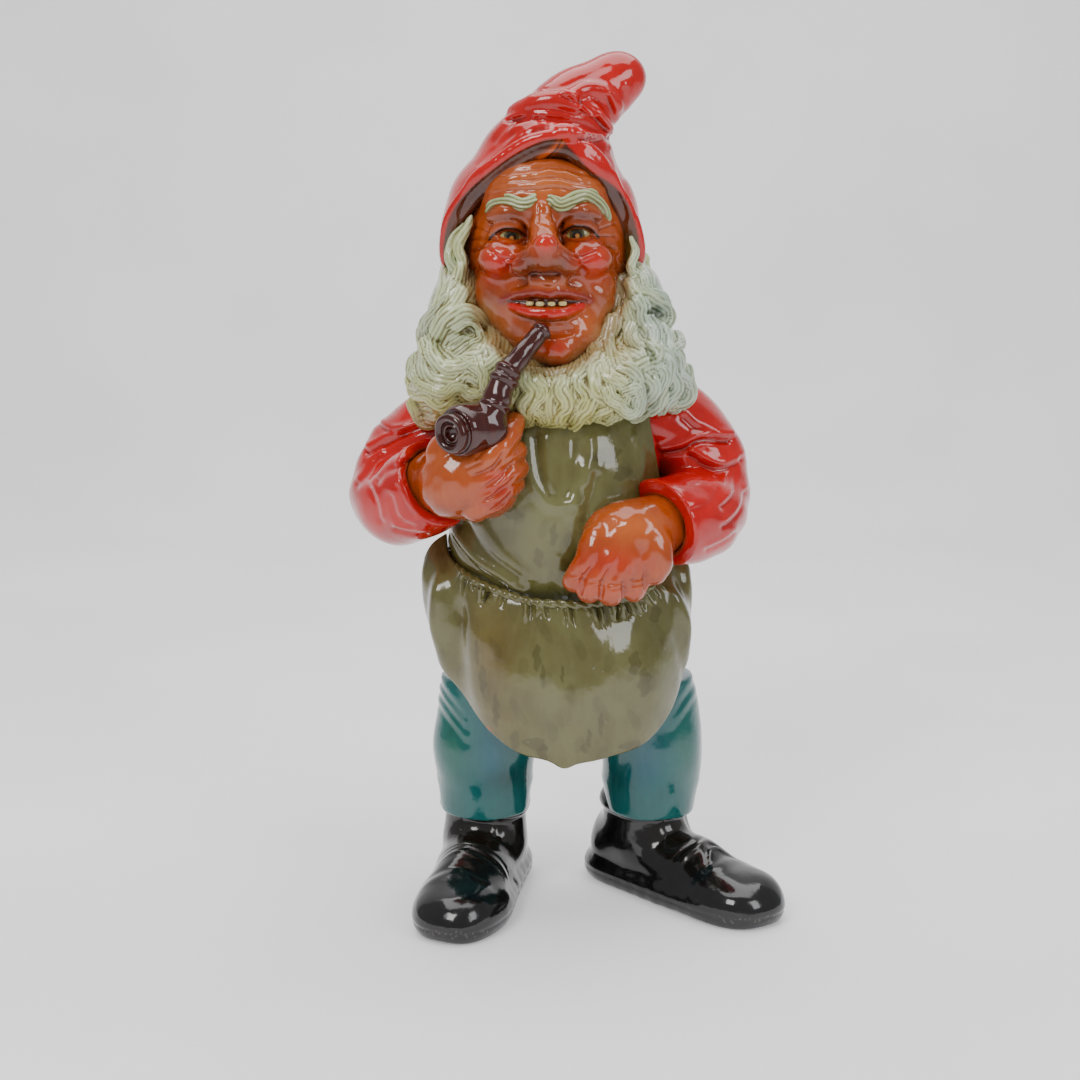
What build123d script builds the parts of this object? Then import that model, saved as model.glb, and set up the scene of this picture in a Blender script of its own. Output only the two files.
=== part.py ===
"""A standing garden gnome, slip-cast as separate hollow pieces that are plugged into each other and luted.

Millimetres. The gnome faces -Y, +Z is up, and the origin is on the ground under the middle of the figure.
Right and left are the gnome's own, so its right side is at -X.
"""

from build123d import *
from collections import namedtuple
import os

# ---------------------------------------------------------------- driving sizes
wall = 7.0  # thickness of the castings
lute_gap = 0.3  # slip joint between two castings

shoe_length = 174.0
shoe_width = 66.0
shoe_height = 56.0  # top of the instep
heel_length = 54.0  # from the ankle back
collar_top = 70.0
collar_thickness = 5.0
sole_vent_radius = 6.0  # firing vent in each sole
ankle_radius = 29.0
ankle_plug_depth = 9.0
stance_width = 123.0  # between the two ankles
right_toe_out = 12.0  # degrees
left_toe_out = 44.0

knee_radius = 33.0
thigh_radius = 39.0
hip_plug_radius = 27.0
hip_plug_height = 9.0
leg_height = 84.0  # from the shoe collar to the seat
seat_height = 54.0

torso_width = 158.0
torso_depth = 128.0
torso_height = 184.0
neck_radius = 32.0
neck_plug_depth = 10.0
neck_clearance = 1.5

bib_thickness = 3.0
bib_half_width = 72.0
string_radius = 3.5
bow_radius = 7.0
bow_loop = 34.0
bow_tail = 34.0
skirt_thickness = 4.0
skirt_flare = 32.0  # how much wider than the trunk the skirt hangs
skirt_stand_off = 22.0  # how much deeper
skirt_drop = 118.0  # from the waist to the point of the hem

shoulder_width = 166.0
sleeve_radius = 28.0
cuff_radius = 32.0
wrist_radius = 22.0
wrist_plug_depth = 12.0
fist_radius = 30.0
finger_radius = 8.5

head_width = 112.0
head_depth = 112.0
head_height = 160.0
nose_radius = 15.0
chin_radius = 13.0
beard_width = 190.0
beard_depth = 132.0
cap_width = 139.0
cap_depth = 138.0
cap_tip_radius = 16.5

bowl_radius = 17.5
bowl_height = 38.0
chamber_radius = 12.0
chamber_depth = 6.0
shank_radius = 9.5
ring_radius = 10.0
bit_radius = 6.0
pipe_tenon_radius = 3.0
pipe_tenon_length = 5.0
tenon_clearance = 0.15
pipe_clearance = 0.8  # between the pipe and the fist that it lies in
pipe_lift = 50.0  # how far the pipe comes up out of the fist

# ---------------------------------------------------------------- places, from the ground up
seat_bottom = collar_top + leg_height
torso_bottom = seat_bottom + seat_height
waist = torso_bottom + 32
torso_top = torso_bottom + torso_height
shoulder = torso_top - 36
head_bottom = torso_top - 14
ear = head_bottom + 0.50 * head_height
crown = head_bottom + head_height
body_x = -6.0  # middle of the trunk
body_y = 19.0
head_x = -14.0  # the head is carried to the right
head_y = 22.0
stance_x = 1.5
ankle_at = {
    "right": (stance_x - stance_width / 2, body_y + 13),
    "left": (stance_x + stance_width / 2, body_y + 25),
}
hip_spacing = torso_width - 2 * thigh_radius
hip_at = {
    "right": (stance_x - hip_spacing / 2, body_y + 6),
    "left": (stance_x + hip_spacing / 2, body_y + 6),
}
toe_out = {"right": -right_toe_out, "left": left_toe_out}
away = {"right": -1, "left": 1}

Oval = namedtuple("Oval", "z x y wide deep")
half_torso = torso_width / 2
half_torso_depth = torso_depth / 2
half_seat_top = Oval(torso_bottom, body_x, body_y, half_torso, half_torso_depth - 5)

seat_ovals = [
    Oval(seat_bottom, stance_x, body_y + 5, half_torso - 1, half_torso_depth - 18),
    Oval(seat_bottom + 0.35 * seat_height, stance_x - 2, body_y + 4, half_torso + 1, half_torso_depth - 8),
    Oval(seat_bottom + 0.72 * seat_height, body_x, body_y + 1, half_torso + 1, half_torso_depth - 4),
    half_seat_top,
]
torso_ovals = [
    half_seat_top,
    Oval(waist, body_x, body_y - 3, half_torso - 1, half_torso_depth - 3),
    Oval(waist + 30, body_x, body_y - 5, half_torso - 1, half_torso_depth),
    Oval(waist + 66, body_x, body_y - 3, half_torso, half_torso_depth),
    Oval(shoulder - 16, body_x, body_y, half_torso - 2, half_torso_depth - 8),
    Oval(shoulder + 10, body_x, body_y + 1, half_torso - 14, half_torso_depth - 18),
    Oval(torso_top - 10, (body_x + head_x) / 2, body_y + 2, neck_radius + wall + 5, neck_radius + wall + 1),
    Oval(torso_top, head_x, body_y + 2, neck_radius + wall, neck_radius + wall),
]
half_head = head_width / 2
half_head_depth = head_depth / 2
head_ovals = [
    Oval(torso_top + lute_gap, head_x, head_y - 2, neck_radius + 6, neck_radius + 6),
    Oval(head_bottom + 0.16 * head_height, head_x, head_y - 10, 0.80 * half_head, 0.90 * half_head_depth),
    Oval(head_bottom + 0.32 * head_height, head_x, head_y - 8, 0.97 * half_head, half_head_depth),
    Oval(head_bottom + 0.54 * head_height, head_x, head_y - 4, half_head, half_head_depth),
    Oval(head_bottom + 0.76 * head_height, head_x, head_y, 0.92 * half_head, 0.92 * half_head_depth),
    Oval(head_bottom + 0.92 * head_height, head_x, head_y + 2, 0.66 * half_head, 0.68 * half_head_depth),
    Oval(crown, head_x, head_y + 3, 0.30 * half_head, 0.32 * half_head_depth),
]
half_beard = beard_width / 2
half_beard_depth = beard_depth / 2
beard_bottom = torso_top - 48
beard_ovals = [
    Oval(beard_bottom, head_x + 1, head_y - 30, 0.84 * half_beard, 0.66 * half_beard_depth),
    Oval(beard_bottom + 18, head_x + 1, head_y - 14, half_beard, half_beard_depth),
    Oval(beard_bottom + 44, head_x, head_y - 6, 0.96 * half_beard, 1.02 * half_beard_depth),
    Oval(beard_bottom + 74, head_x - 2, head_y - 1, 0.82 * half_beard, 1.03 * half_beard_depth),
    Oval(ear, head_x - 3, head_y + 1, half_head + 12, half_head_depth + 10),
    Oval(ear + 30, head_x - 3, head_y + 2, half_head + 8, half_head_depth + 6),
]
half_cap = cap_width / 2
half_cap_depth = cap_depth / 2
cap_tip = (head_x + 53, head_y + 20, crown + 46)
cap_ovals = [
    Oval(ear - 2, head_x - 4, head_y + 3, half_cap, half_cap_depth),
    Oval(ear + 20, head_x - 4, head_y + 4, 0.98 * half_cap, 0.99 * half_cap_depth),
    Oval(ear + 40, head_x - 2, head_y + 6, 0.90 * half_cap, 0.91 * half_cap_depth),
    Oval(crown - 22, head_x - 1, head_y + 8, 0.77 * half_cap, 0.79 * half_cap_depth),
    Oval(crown, head_x + 2, head_y + 12, 0.62 * half_cap, 0.58 * half_cap_depth),
    Oval(crown + 16, head_x + 8, head_y + 15, 0.55 * half_cap, 0.42 * half_cap_depth),
]
half_skirt = (torso_width + skirt_flare) / 2
half_skirt_depth = (torso_depth + skirt_stand_off) / 2
skirt_ovals = [
    Oval(waist - 4, body_x, body_y - 3, half_torso + 6, half_torso_depth + 4),
    Oval(waist - 20, body_x, body_y - 3, half_skirt, half_skirt_depth - 5),
    Oval(waist - 60, body_x, body_y - 4, 0.97 * half_skirt, half_skirt_depth + 1),
    Oval(waist - skirt_drop - 2, body_x, body_y - 4, 0.94 * half_skirt, half_skirt_depth + 2),
]

shoulder_at = {
    side: (body_x + sign * (shoulder_width / 2), body_y, shoulder - 4) for side, sign in away.items()
}
elbow_at = {
    "right": (body_x - 118, body_y + 2, shoulder - 64),
    "left": (body_x + 104, body_y, shoulder - 66),
}
cuff_at = {
    "right": (body_x - 82, body_y - 51, shoulder - 43),
    "left": (body_x + 66, body_y - 58, shoulder - 72),
}
hand_at = {
    "right": (body_x - 59, body_y - 73, shoulder - 37),
    "left": (body_x + 36, body_y - 71, shoulder - 88),
}

bowl_at = Vector(hand_at["right"]) + (-4, -23, 32)
heel_at = bowl_at + (19, 6, 0)  # where the shank leaves the bowl
ring_at = heel_at + (9, 5, 35)
bit_end = ring_at + (24, 13, 27)
bowl_axis = Vector(-0.85, -0.48, -0.05).normalized()
pull_direction = Vector(0.12, -0.5, 0.86).normalized()


# ---------------------------------------------------------------- helpers
def oval_faces(ovals, grow=0.0):
    """Level ovals, ready for loft."""
    faces = []
    for oval in ovals:
        with BuildSketch(Plane((oval.x, oval.y, oval.z))) as level:
            Ellipse(oval.wide + grow, oval.deep + grow)
        faces.append(level.sketch.face())
    return faces


def oval_blank(ovals, grow=lute_gap):
    """The full shape of a casting, grown a little, to cut its neighbours with."""
    with BuildPart() as blank:
        loft(oval_faces(ovals, grow))
    return blank.part


def head_shape(grow=0.0):
    """The skull with its nose and chin."""
    front = head_y - half_head_depth
    with BuildPart() as skull:
        loft(oval_faces(head_ovals, grow))
        add(egg((head_x, front - 2, ear + 6), (0, -0.5, -1), 20 + grow, nose_radius + grow))
        add(egg((head_x + 2, front + 3, head_bottom + 26), (1, 0, 0), 14 + grow, chin_radius + grow))
        if grow:
            with BuildSketch(Plane((head_x, body_y + 2, torso_top - 1))):
                Circle(neck_radius)
            extrude(amount=wall)
    return skull.part


def limb(start, end, start_radius, end_radius):
    """A tapered round limb."""
    direction = Vector(end) - Vector(start)
    discs = []
    for point, radius in ((start, start_radius), (end, end_radius)):
        with BuildSketch(Plane(origin=point, z_dir=direction)) as disc:
            Circle(radius)
        discs.append(disc.sketch.face())
    with BuildPart() as taper:
        loft(discs)
    return taper.part


def egg(centre, direction, half_length, radius):
    """A ball that is longer or shorter along one direction."""
    axle = Plane(origin=centre, z_dir=direction)
    with BuildPart() as ball:
        with BuildSketch(Plane(origin=centre, x_dir=axle.z_dir, z_dir=axle.x_dir)):
            Ellipse(half_length, radius)
            split(bisect_by=Plane.XZ, keep=Keep.BOTTOM)
        revolve(axis=Axis(centre, axle.z_dir))
    return ball.part


def ball(centre, radius):
    """A round ball."""
    with BuildPart() as whole:
        with Locations(centre):
            Sphere(radius)
    return whole.part


def finger(knuckle, tip, radius):
    """A closed finger, rounded at the knuckle and at the tip."""
    reach = Vector(tip) - Vector(knuckle)
    return egg((Vector(knuckle) + Vector(tip)) * 0.5, reach, reach.length / 2 + radius, radius)


def front_prism(outline, near, far):
    """A smooth closed outline, seen from the front, run from y = near back to y = far."""
    with BuildPart() as prism:
        with BuildSketch(Plane(origin=(0, near, 0), x_dir=(1, 0, 0), z_dir=(0, -1, 0))):
            with BuildLine():
                Spline(*outline, periodic=True)
            make_face()
        extrude(amount=-(far - near))
    return prism.part


finished = []


def keep(piece, label):
    """Names a finished piece and lists it for export."""
    piece.part.label = label
    finished.append(piece.part)


torso_blank = oval_blank(torso_ovals)
head_blank = head_shape(lute_gap)
beard_blank = oval_blank(beard_ovals)
bib_room = oval_blank(torso_ovals, bib_thickness + 2 * lute_gap)
sleeves = {}
sleeve_blanks = {}

# ---------------------------------------------------------------- shoes
toe_length = shoe_length - heel_length


def shoe_faces(foot, shrink=0.0):
    """Ovals across the foot, from the heel to the toe, ready for loft."""
    half = shoe_width / 2
    stations = [  # along the foot, half width, middle height, half height
        (-0.985 * heel_length, 0.30 * half, 0.22 * shoe_height, 0.30 * shoe_height),
        (-0.80 * heel_length, 0.68 * half, 0.32 * shoe_height, 0.52 * shoe_height),
        (-0.40 * heel_length, 0.88 * half, 0.36 * shoe_height, 0.64 * shoe_height),
        (0.05 * toe_length, 0.93 * half, 0.36 * shoe_height, 0.66 * shoe_height),
        (0.30 * toe_length, 0.95 * half, 0.30 * shoe_height, 0.58 * shoe_height),
        (0.58 * toe_length, half, 0.24 * shoe_height, 0.46 * shoe_height),
        (0.82 * toe_length, 0.86 * half, 0.20 * shoe_height, 0.38 * shoe_height),
        (0.96 * toe_length, 0.50 * half, 0.18 * shoe_height, 0.26 * shoe_height),
        (toe_length, 0.16 * half, 0.16 * shoe_height, 0.10 * shoe_height),
    ]
    faces = []
    for along, wide, middle, tall in stations[1:-1] if shrink else stations:
        station_at = foot.origin + foot.z_dir * along + Vector(0, 0, middle)
        across = Plane(origin=station_at, x_dir=foot.x_dir, z_dir=foot.z_dir)
        with BuildSketch(across) as station:
            Ellipse(wide - shrink, tall - shrink)
        faces.append(station.sketch.face())
    return faces


def leg_ovals(side):
    """The trouser leg, from the shoe collar up into the seat."""
    x, y = ankle_at[side]
    hip_x, hip_y = hip_at[side]
    return [
        Oval(collar_top, x, y, ankle_radius, ankle_radius + 1),
        Oval(collar_top + 0.40 * leg_height, x, y - 4, knee_radius, knee_radius + 3),
        Oval(
            collar_top + 0.80 * leg_height, (x + hip_x) / 2, (y + hip_y) / 2, thigh_radius - 1, thigh_radius
        ),
        Oval(seat_bottom - lute_gap, hip_x, hip_y, thigh_radius, thigh_radius + 2),
    ]


for side in ("right", "left"):
    x, y = ankle_at[side]
    turned = Plane(origin=(x, y, 0)).rotated((0, 0, toe_out[side]))
    foot = Plane(origin=(x, y, 0), x_dir=turned.x_dir, z_dir=-turned.y_dir)
    collar_ovals = [
        Oval(0.5 * shoe_height, x, y, ankle_radius, ankle_radius),
        Oval(collar_top, x, y, ankle_radius + collar_thickness, ankle_radius + collar_thickness),
    ]
    with BuildPart() as core:
        loft(shoe_faces(foot, wall))
        split(bisect_by=Plane.XY.offset(wall), keep=Keep.TOP)
    with BuildPart() as shoe:
        loft(shoe_faces(foot))
        loft(oval_faces(collar_ovals))
        split(bisect_by=Plane.XY, keep=Keep.TOP)
        add(core.part, mode=Mode.SUBTRACT)
        with BuildSketch(Plane((x, y, collar_top))):
            Circle(ankle_radius - wall + lute_gap)
        extrude(amount=-0.6 * collar_top, mode=Mode.SUBTRACT)
        with BuildSketch():
            with Locations((x, y)):
                Circle(sole_vent_radius)
        extrude(amount=2 * wall, mode=Mode.SUBTRACT)
    keep(shoe, f"{side}_shoe")

    with BuildPart() as leg:
        loft(oval_faces(leg_ovals(side)))
        with BuildSketch(Plane((x, y, collar_top))):
            Circle(ankle_radius - wall)
        extrude(amount=-ankle_plug_depth)
        loft(oval_faces(leg_ovals(side), -wall), mode=Mode.SUBTRACT)
        with BuildSketch(Plane((*hip_at[side], seat_bottom - wall))):
            Circle(hip_plug_radius)
            Circle(hip_plug_radius - wall, mode=Mode.SUBTRACT)
        extrude(amount=wall + hip_plug_height)
        with BuildSketch(Plane((x, y, collar_top))):
            Circle(ankle_radius - 2 * wall)
        extrude(amount=ankle_plug_depth, both=True, mode=Mode.SUBTRACT)
    keep(leg, f"{side}_leg")

# ---------------------------------------------------------------- seat and jacket
with BuildPart() as seat:
    loft(oval_faces(seat_ovals))
    loft(oval_faces(seat_ovals[1:], -wall), mode=Mode.SUBTRACT)
    with BuildSketch(Plane.XY.offset(seat_bottom)):
        with Locations(*hip_at.values()):
            Circle(hip_plug_radius + lute_gap)
    extrude(amount=0.5 * seat_height, mode=Mode.SUBTRACT)
    split(bisect_by=Plane.XY.offset(torso_bottom - lute_gap), keep=Keep.BOTTOM)
keep(seat, "trouser_seat")

with BuildPart() as jacket:
    loft(oval_faces(torso_ovals))
    loft(oval_faces(torso_ovals, -wall), mode=Mode.SUBTRACT)
    with BuildSketch(Plane((head_x, body_y + 2, torso_top - neck_plug_depth))):
        Circle(neck_radius - 0.5 * neck_clearance)
    extrude(amount=neck_plug_depth, mode=Mode.SUBTRACT)
keep(jacket, "jacket")

# ---------------------------------------------------------------- head
face_front = head_y - half_head_depth
with BuildPart() as head:
    add(head_shape())
    add(torso_blank, mode=Mode.SUBTRACT)
    loft(oval_faces(head_ovals[:-1], -wall), mode=Mode.SUBTRACT)
    with BuildSketch(Plane((head_x, body_y + 2, torso_top - neck_plug_depth))):
        Circle(neck_radius - neck_clearance)
        Circle(neck_radius - wall, mode=Mode.SUBTRACT)
    extrude(amount=neck_plug_depth + wall)
keep(head, "head")

# ---------------------------------------------------------------- face opening, beard and cap
face_outline = [
    (head_x + 2, head_bottom + 3),
    (head_x + 0.62 * half_head, head_bottom + 16),
    (head_x + 0.94 * half_head, ear - 26),
    (head_x + 0.98 * half_head, ear + 14),
    (head_x + 0.66 * half_head, crown - 30),
    (head_x + 2, crown - 5),
    (head_x - 0.58 * half_head, crown - 30),
    (head_x - 0.94 * half_head, ear + 14),
    (head_x - 0.90 * half_head, ear - 26),
    (head_x - 0.58 * half_head, head_bottom + 16),
]
face_opening = front_prism(face_outline, face_front - 60, face_front + 44)

with BuildPart() as beard:
    loft(oval_faces(beard_ovals))
    add(torso_blank, mode=Mode.SUBTRACT)
    add(head_blank, mode=Mode.SUBTRACT)
    add(face_opening, mode=Mode.SUBTRACT)
keep(beard, "hair_and_beard")

with BuildPart() as cap:
    loft(oval_faces(cap_ovals))
    top = cap_ovals[-1]
    add(egg((top.x, top.y, top.z), (0.8, 0, 0.4), 1.02 * top.wide, 0.82 * top.wide))
    add(limb((top.x, top.y, top.z - 4), cap_tip, 0.76 * top.wide, cap_tip_radius))
    with Locations(cap_tip):
        Sphere(cap_tip_radius)
    add(beard_blank, mode=Mode.SUBTRACT)
    add(head_blank, mode=Mode.SUBTRACT)
    add(face_opening, mode=Mode.SUBTRACT)
keep(cap, "cap")

# ---------------------------------------------------------------- pipe
shank_direction = (ring_at - heel_at).normalized()
bit_direction = (bit_end - ring_at).normalized()
shank_top = heel_at + (ring_at - heel_at) * 0.5
tenon_bore = pipe_tenon_radius + tenon_clearance


def rod(start, direction, length, radius):
    """A straight round bar."""
    return limb(start, start + direction * length, radius, radius)


def pipe_rooms():
    """The spaces in the fist that the pipe lies in and comes out through."""
    reach = pull_direction * (pipe_lift + 2 * bowl_height)
    bowl_room = bowl_height / 2 + pipe_clearance
    shank_room = shank_radius + pipe_clearance
    return [
        egg(bowl_at, bowl_axis, bowl_room, bowl_radius + pipe_clearance),
        limb(bowl_at, bowl_at + reach, bowl_room, bowl_room + 3),
        egg(heel_at, shank_direction, shank_room, shank_room),
        limb(heel_at, heel_at + reach, shank_room, shank_room + 3),
    ]


with BuildPart() as pipe_bowl:
    add(egg(bowl_at, bowl_axis, bowl_height / 2, bowl_radius))
    with Locations(heel_at):
        Sphere(shank_radius)
    add(limb(heel_at, shank_top, shank_radius, shank_radius))
    add(rod(bowl_at + bowl_axis * (bowl_height / 2 - chamber_depth), bowl_axis, bowl_height, chamber_radius),
        mode=Mode.SUBTRACT)
    add(rod(shank_top + shank_direction, -shank_direction, pipe_tenon_length + 1.5, tenon_bore),
        mode=Mode.SUBTRACT)
keep(pipe_bowl, "pipe_bowl")

with BuildPart() as pipe_stem:
    add(limb(shank_top, ring_at, shank_radius, shank_radius - 1))
    with Locations(ring_at):
        Sphere(ring_radius)
    split(bisect_by=Plane(origin=ring_at, z_dir=bit_direction), keep=Keep.BOTTOM)
    add(rod(shank_top, -shank_direction, pipe_tenon_length, pipe_tenon_radius))
    add(
        rod(ring_at + bit_direction, -bit_direction, pipe_tenon_length + 1.5, tenon_bore),
        mode=Mode.SUBTRACT,
    )
keep(pipe_stem, "pipe_stem")

with BuildPart() as pipe_bit:
    add(limb(ring_at, bit_end, shank_radius - 1.5, bit_radius))
    add(limb(bit_end - bit_direction * 3, bit_end, bit_radius + 1, bit_radius + 0.5))
    add(rod(ring_at, -bit_direction, pipe_tenon_length, pipe_tenon_radius))
keep(pipe_bit, "pipe_bit")

# ---------------------------------------------------------------- sleeves and hands
for side in ("right", "left"):
    root = shoulder_at[side]
    elbow, cuff = Vector(elbow_at[side]), Vector(cuff_at[side])
    forearm = (cuff - elbow).normalized()
    inside = sleeve_radius - wall
    with BuildPart() as sleeve:
        with Locations(root):
            Sphere(sleeve_radius + 1)
        add(limb(root, elbow, sleeve_radius + 1, sleeve_radius))
        with Locations(elbow):
            Sphere(sleeve_radius)
        add(limb(elbow, cuff, sleeve_radius, cuff_radius))
        add(torso_blank, mode=Mode.SUBTRACT)
        add(beard_blank, mode=Mode.SUBTRACT)
        with Locations(elbow):
            Sphere(inside, mode=Mode.SUBTRACT)
        add(limb(root, elbow, inside, inside), mode=Mode.SUBTRACT)
        add(limb(elbow, cuff, inside, cuff_radius - wall), mode=Mode.SUBTRACT)
        add(rod(cuff + forearm, -forearm, wrist_plug_depth + 2, cuff_radius - wall), mode=Mode.SUBTRACT)
    keep(sleeve, f"{side}_sleeve")
    sleeves[side] = sleeve.part
    sleeve_blanks[side] = limb(elbow, cuff, sleeve_radius + lute_gap, cuff_radius + lute_gap)


def hand_root(side):
    """The plug that goes up the cuff, and the wrist from there to the palm."""
    elbow, cuff, palm = Vector(elbow_at[side]), Vector(cuff_at[side]), Vector(hand_at[side])
    forearm = (cuff - elbow).normalized()
    with BuildPart() as wrist:
        add(rod(cuff, -forearm, wrist_plug_depth, cuff_radius - wall - lute_gap))
        add(limb(cuff - forearm, palm, wrist_radius, wrist_radius))
    return wrist.part


with BuildPart() as right_hand:
    palm = Vector(hand_at["right"])
    knuckles = [palm + Vector(20 - 2 * row, -8 + 2 * row, 20 - 14 * row) for row in range(4)]
    fingers = [finger(knuckle, knuckle + Vector(5, 18, 2), finger_radius + 1) for knuckle in knuckles]
    add([ball(palm, fist_radius + 1), hand_root("right"), *fingers])
    for room in pipe_rooms():
        add(room, mode=Mode.SUBTRACT)
    add(beard_blank, mode=Mode.SUBTRACT)
    add(bib_room, mode=Mode.SUBTRACT)
    add(sleeves["right"], mode=Mode.SUBTRACT)
keep(right_hand, "right_hand")

with BuildPart() as left_hand:
    palm = Vector(hand_at["left"])
    knuckles = [palm + Vector(-21 + 9 * row, -3, -6 - 4 * row) for row in range(4)]
    fingers = [finger(knuckle, knuckle + Vector(-3, 8, -12), finger_radius) for knuckle in knuckles]
    add([egg(palm, (-1, 0, -0.5), fist_radius, fist_radius - 7), hand_root("left"), *fingers])
    add(bib_room, mode=Mode.SUBTRACT)
    add(oval_blank(torso_ovals, string_radius + 2 * lute_gap), mode=Mode.SUBTRACT)
    add(oval_blank(skirt_ovals), mode=Mode.SUBTRACT)
    add(sleeves["left"], mode=Mode.SUBTRACT)
keep(left_hand, "left_hand")

# ---------------------------------------------------------------- apron
bib_outline = [
    (body_x - 2, torso_top - 30),
    (body_x + bib_half_width - 24, torso_top - 40),
    (body_x + bib_half_width - 8, shoulder - 40),
    (body_x + bib_half_width, waist + 40),
    (body_x + bib_half_width - 2, waist + 4),
    (body_x, waist - 10),
    (body_x - bib_half_width + 2, waist + 4),
    (body_x - bib_half_width, waist + 40),
    (body_x - bib_half_width + 8, shoulder - 40),
    (body_x - bib_half_width + 24, torso_top - 40),
]
with BuildPart() as bib:
    loft(oval_faces(torso_ovals, lute_gap + bib_thickness))
    add(front_prism(bib_outline, body_y - half_torso_depth - 20, body_y - 8), mode=Mode.INTERSECT)
    split(bisect_by=Plane.XY.offset(waist + string_radius + lute_gap), keep=Keep.TOP)
    add(torso_blank, mode=Mode.SUBTRACT)
    add(beard_blank, mode=Mode.SUBTRACT)
    for blank in sleeve_blanks.values():
        add(blank, mode=Mode.SUBTRACT)
keep(bib, "apron_bib")

skirt_outline = [
    (body_x, waist + 4),
    (body_x + 0.55 * half_skirt, waist + 2),
    (body_x + 0.95 * half_skirt, waist - 8),
    (body_x + 1.02 * half_skirt, waist - 32),
    (body_x + 0.94 * half_skirt, waist - 62),
    (body_x + 0.74 * half_skirt, waist - 92),
    (body_x + 0.36 * half_skirt, waist - 112),
    (body_x - 2, waist - skirt_drop),
    (body_x - 0.40 * half_skirt, waist - 108),
    (body_x - 0.72 * half_skirt, waist - 86),
    (body_x - 0.94 * half_skirt, waist - 58),
    (body_x - 1.02 * half_skirt, waist - 30),
    (body_x - 0.95 * half_skirt, waist - 8),
    (body_x - 0.55 * half_skirt, waist + 2),
]
with BuildPart() as skirt:
    loft(oval_faces(skirt_ovals))
    loft(oval_faces(skirt_ovals, -skirt_thickness), mode=Mode.SUBTRACT)
    add(front_prism(skirt_outline, body_y - half_skirt_depth - 20, body_y - 4), mode=Mode.INTERSECT)
    add(torso_blank, mode=Mode.SUBTRACT)
keep(skirt, "apron_skirt")

string_blank = oval_blank(torso_ovals, string_radius + lute_gap)
with BuildPart() as string:
    add(string_blank)
    split(bisect_by=Plane.XY.offset(waist + string_radius), keep=Keep.BOTTOM)
    split(bisect_by=Plane.XY.offset(waist - string_radius), keep=Keep.TOP)
    add(torso_blank, mode=Mode.SUBTRACT)
keep(string, "apron_string")

knot = Vector(body_x, body_y + half_torso_depth + 1, waist)
with BuildPart() as bow:
    add(egg(knot, (0, 0, 1), bow_radius + 3, bow_radius + 1))
    for sign in away.values():
        loop = knot + Vector(sign * bow_loop / 2, 0, 4)
        add(egg(loop, (sign, 0, 0.25), bow_loop / 2, bow_radius))
        add(limb(knot, knot + Vector(sign * 12, 0, -bow_tail), string_radius + 1, string_radius + 2))
    add(torso_blank, mode=Mode.SUBTRACT)
    add(string.part, mode=Mode.SUBTRACT)
keep(bow, "apron_bow")

low = [min(getattr(piece.bounding_box().min, axis) for piece in finished) for axis in "XYZ"]
high = [max(getattr(piece.bounding_box().max, axis) for piece in finished) for axis in "XYZ"]
print("box", [round(value, 1) for value in low + high])
os.makedirs("parts", exist_ok=True)
for piece in finished:
    export_step(piece, f"parts/{piece.label}.step")
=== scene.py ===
"""A glazed garden gnome, modelled as a potter would: every casting is built up in clay and then enamelled.

Lengths inside this script are millimetres in the model's own frame: +Z up, the gnome faces -Y, and its
right is at -X.
"""
import math
import bpy
import numpy as np
from mathutils import Euler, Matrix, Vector


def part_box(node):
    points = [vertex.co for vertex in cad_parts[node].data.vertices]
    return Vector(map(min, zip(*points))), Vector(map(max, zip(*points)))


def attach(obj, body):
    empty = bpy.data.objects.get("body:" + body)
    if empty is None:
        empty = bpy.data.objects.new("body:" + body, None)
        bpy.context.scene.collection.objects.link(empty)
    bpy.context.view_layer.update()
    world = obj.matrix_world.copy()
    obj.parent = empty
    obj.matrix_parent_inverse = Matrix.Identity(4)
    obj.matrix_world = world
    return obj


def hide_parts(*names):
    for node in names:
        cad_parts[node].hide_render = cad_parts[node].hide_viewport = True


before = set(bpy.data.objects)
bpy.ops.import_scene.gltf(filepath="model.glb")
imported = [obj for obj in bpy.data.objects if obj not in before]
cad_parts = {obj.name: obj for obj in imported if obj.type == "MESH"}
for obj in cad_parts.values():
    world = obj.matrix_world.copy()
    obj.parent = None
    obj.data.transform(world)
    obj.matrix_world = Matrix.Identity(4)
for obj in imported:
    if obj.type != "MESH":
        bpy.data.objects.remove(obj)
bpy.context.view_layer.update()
METRE = 0.001
draw = np.random.default_rng(7)


def room_for(*nodes, margin=14.0):
    """The two corners of the space that some castings fill together, grown by a margin."""
    lows, highs = zip(*(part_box(node) for node in nodes))
    return np.min(lows, 0) / METRE - margin, np.max(highs, 0) / METRE + margin


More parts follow.
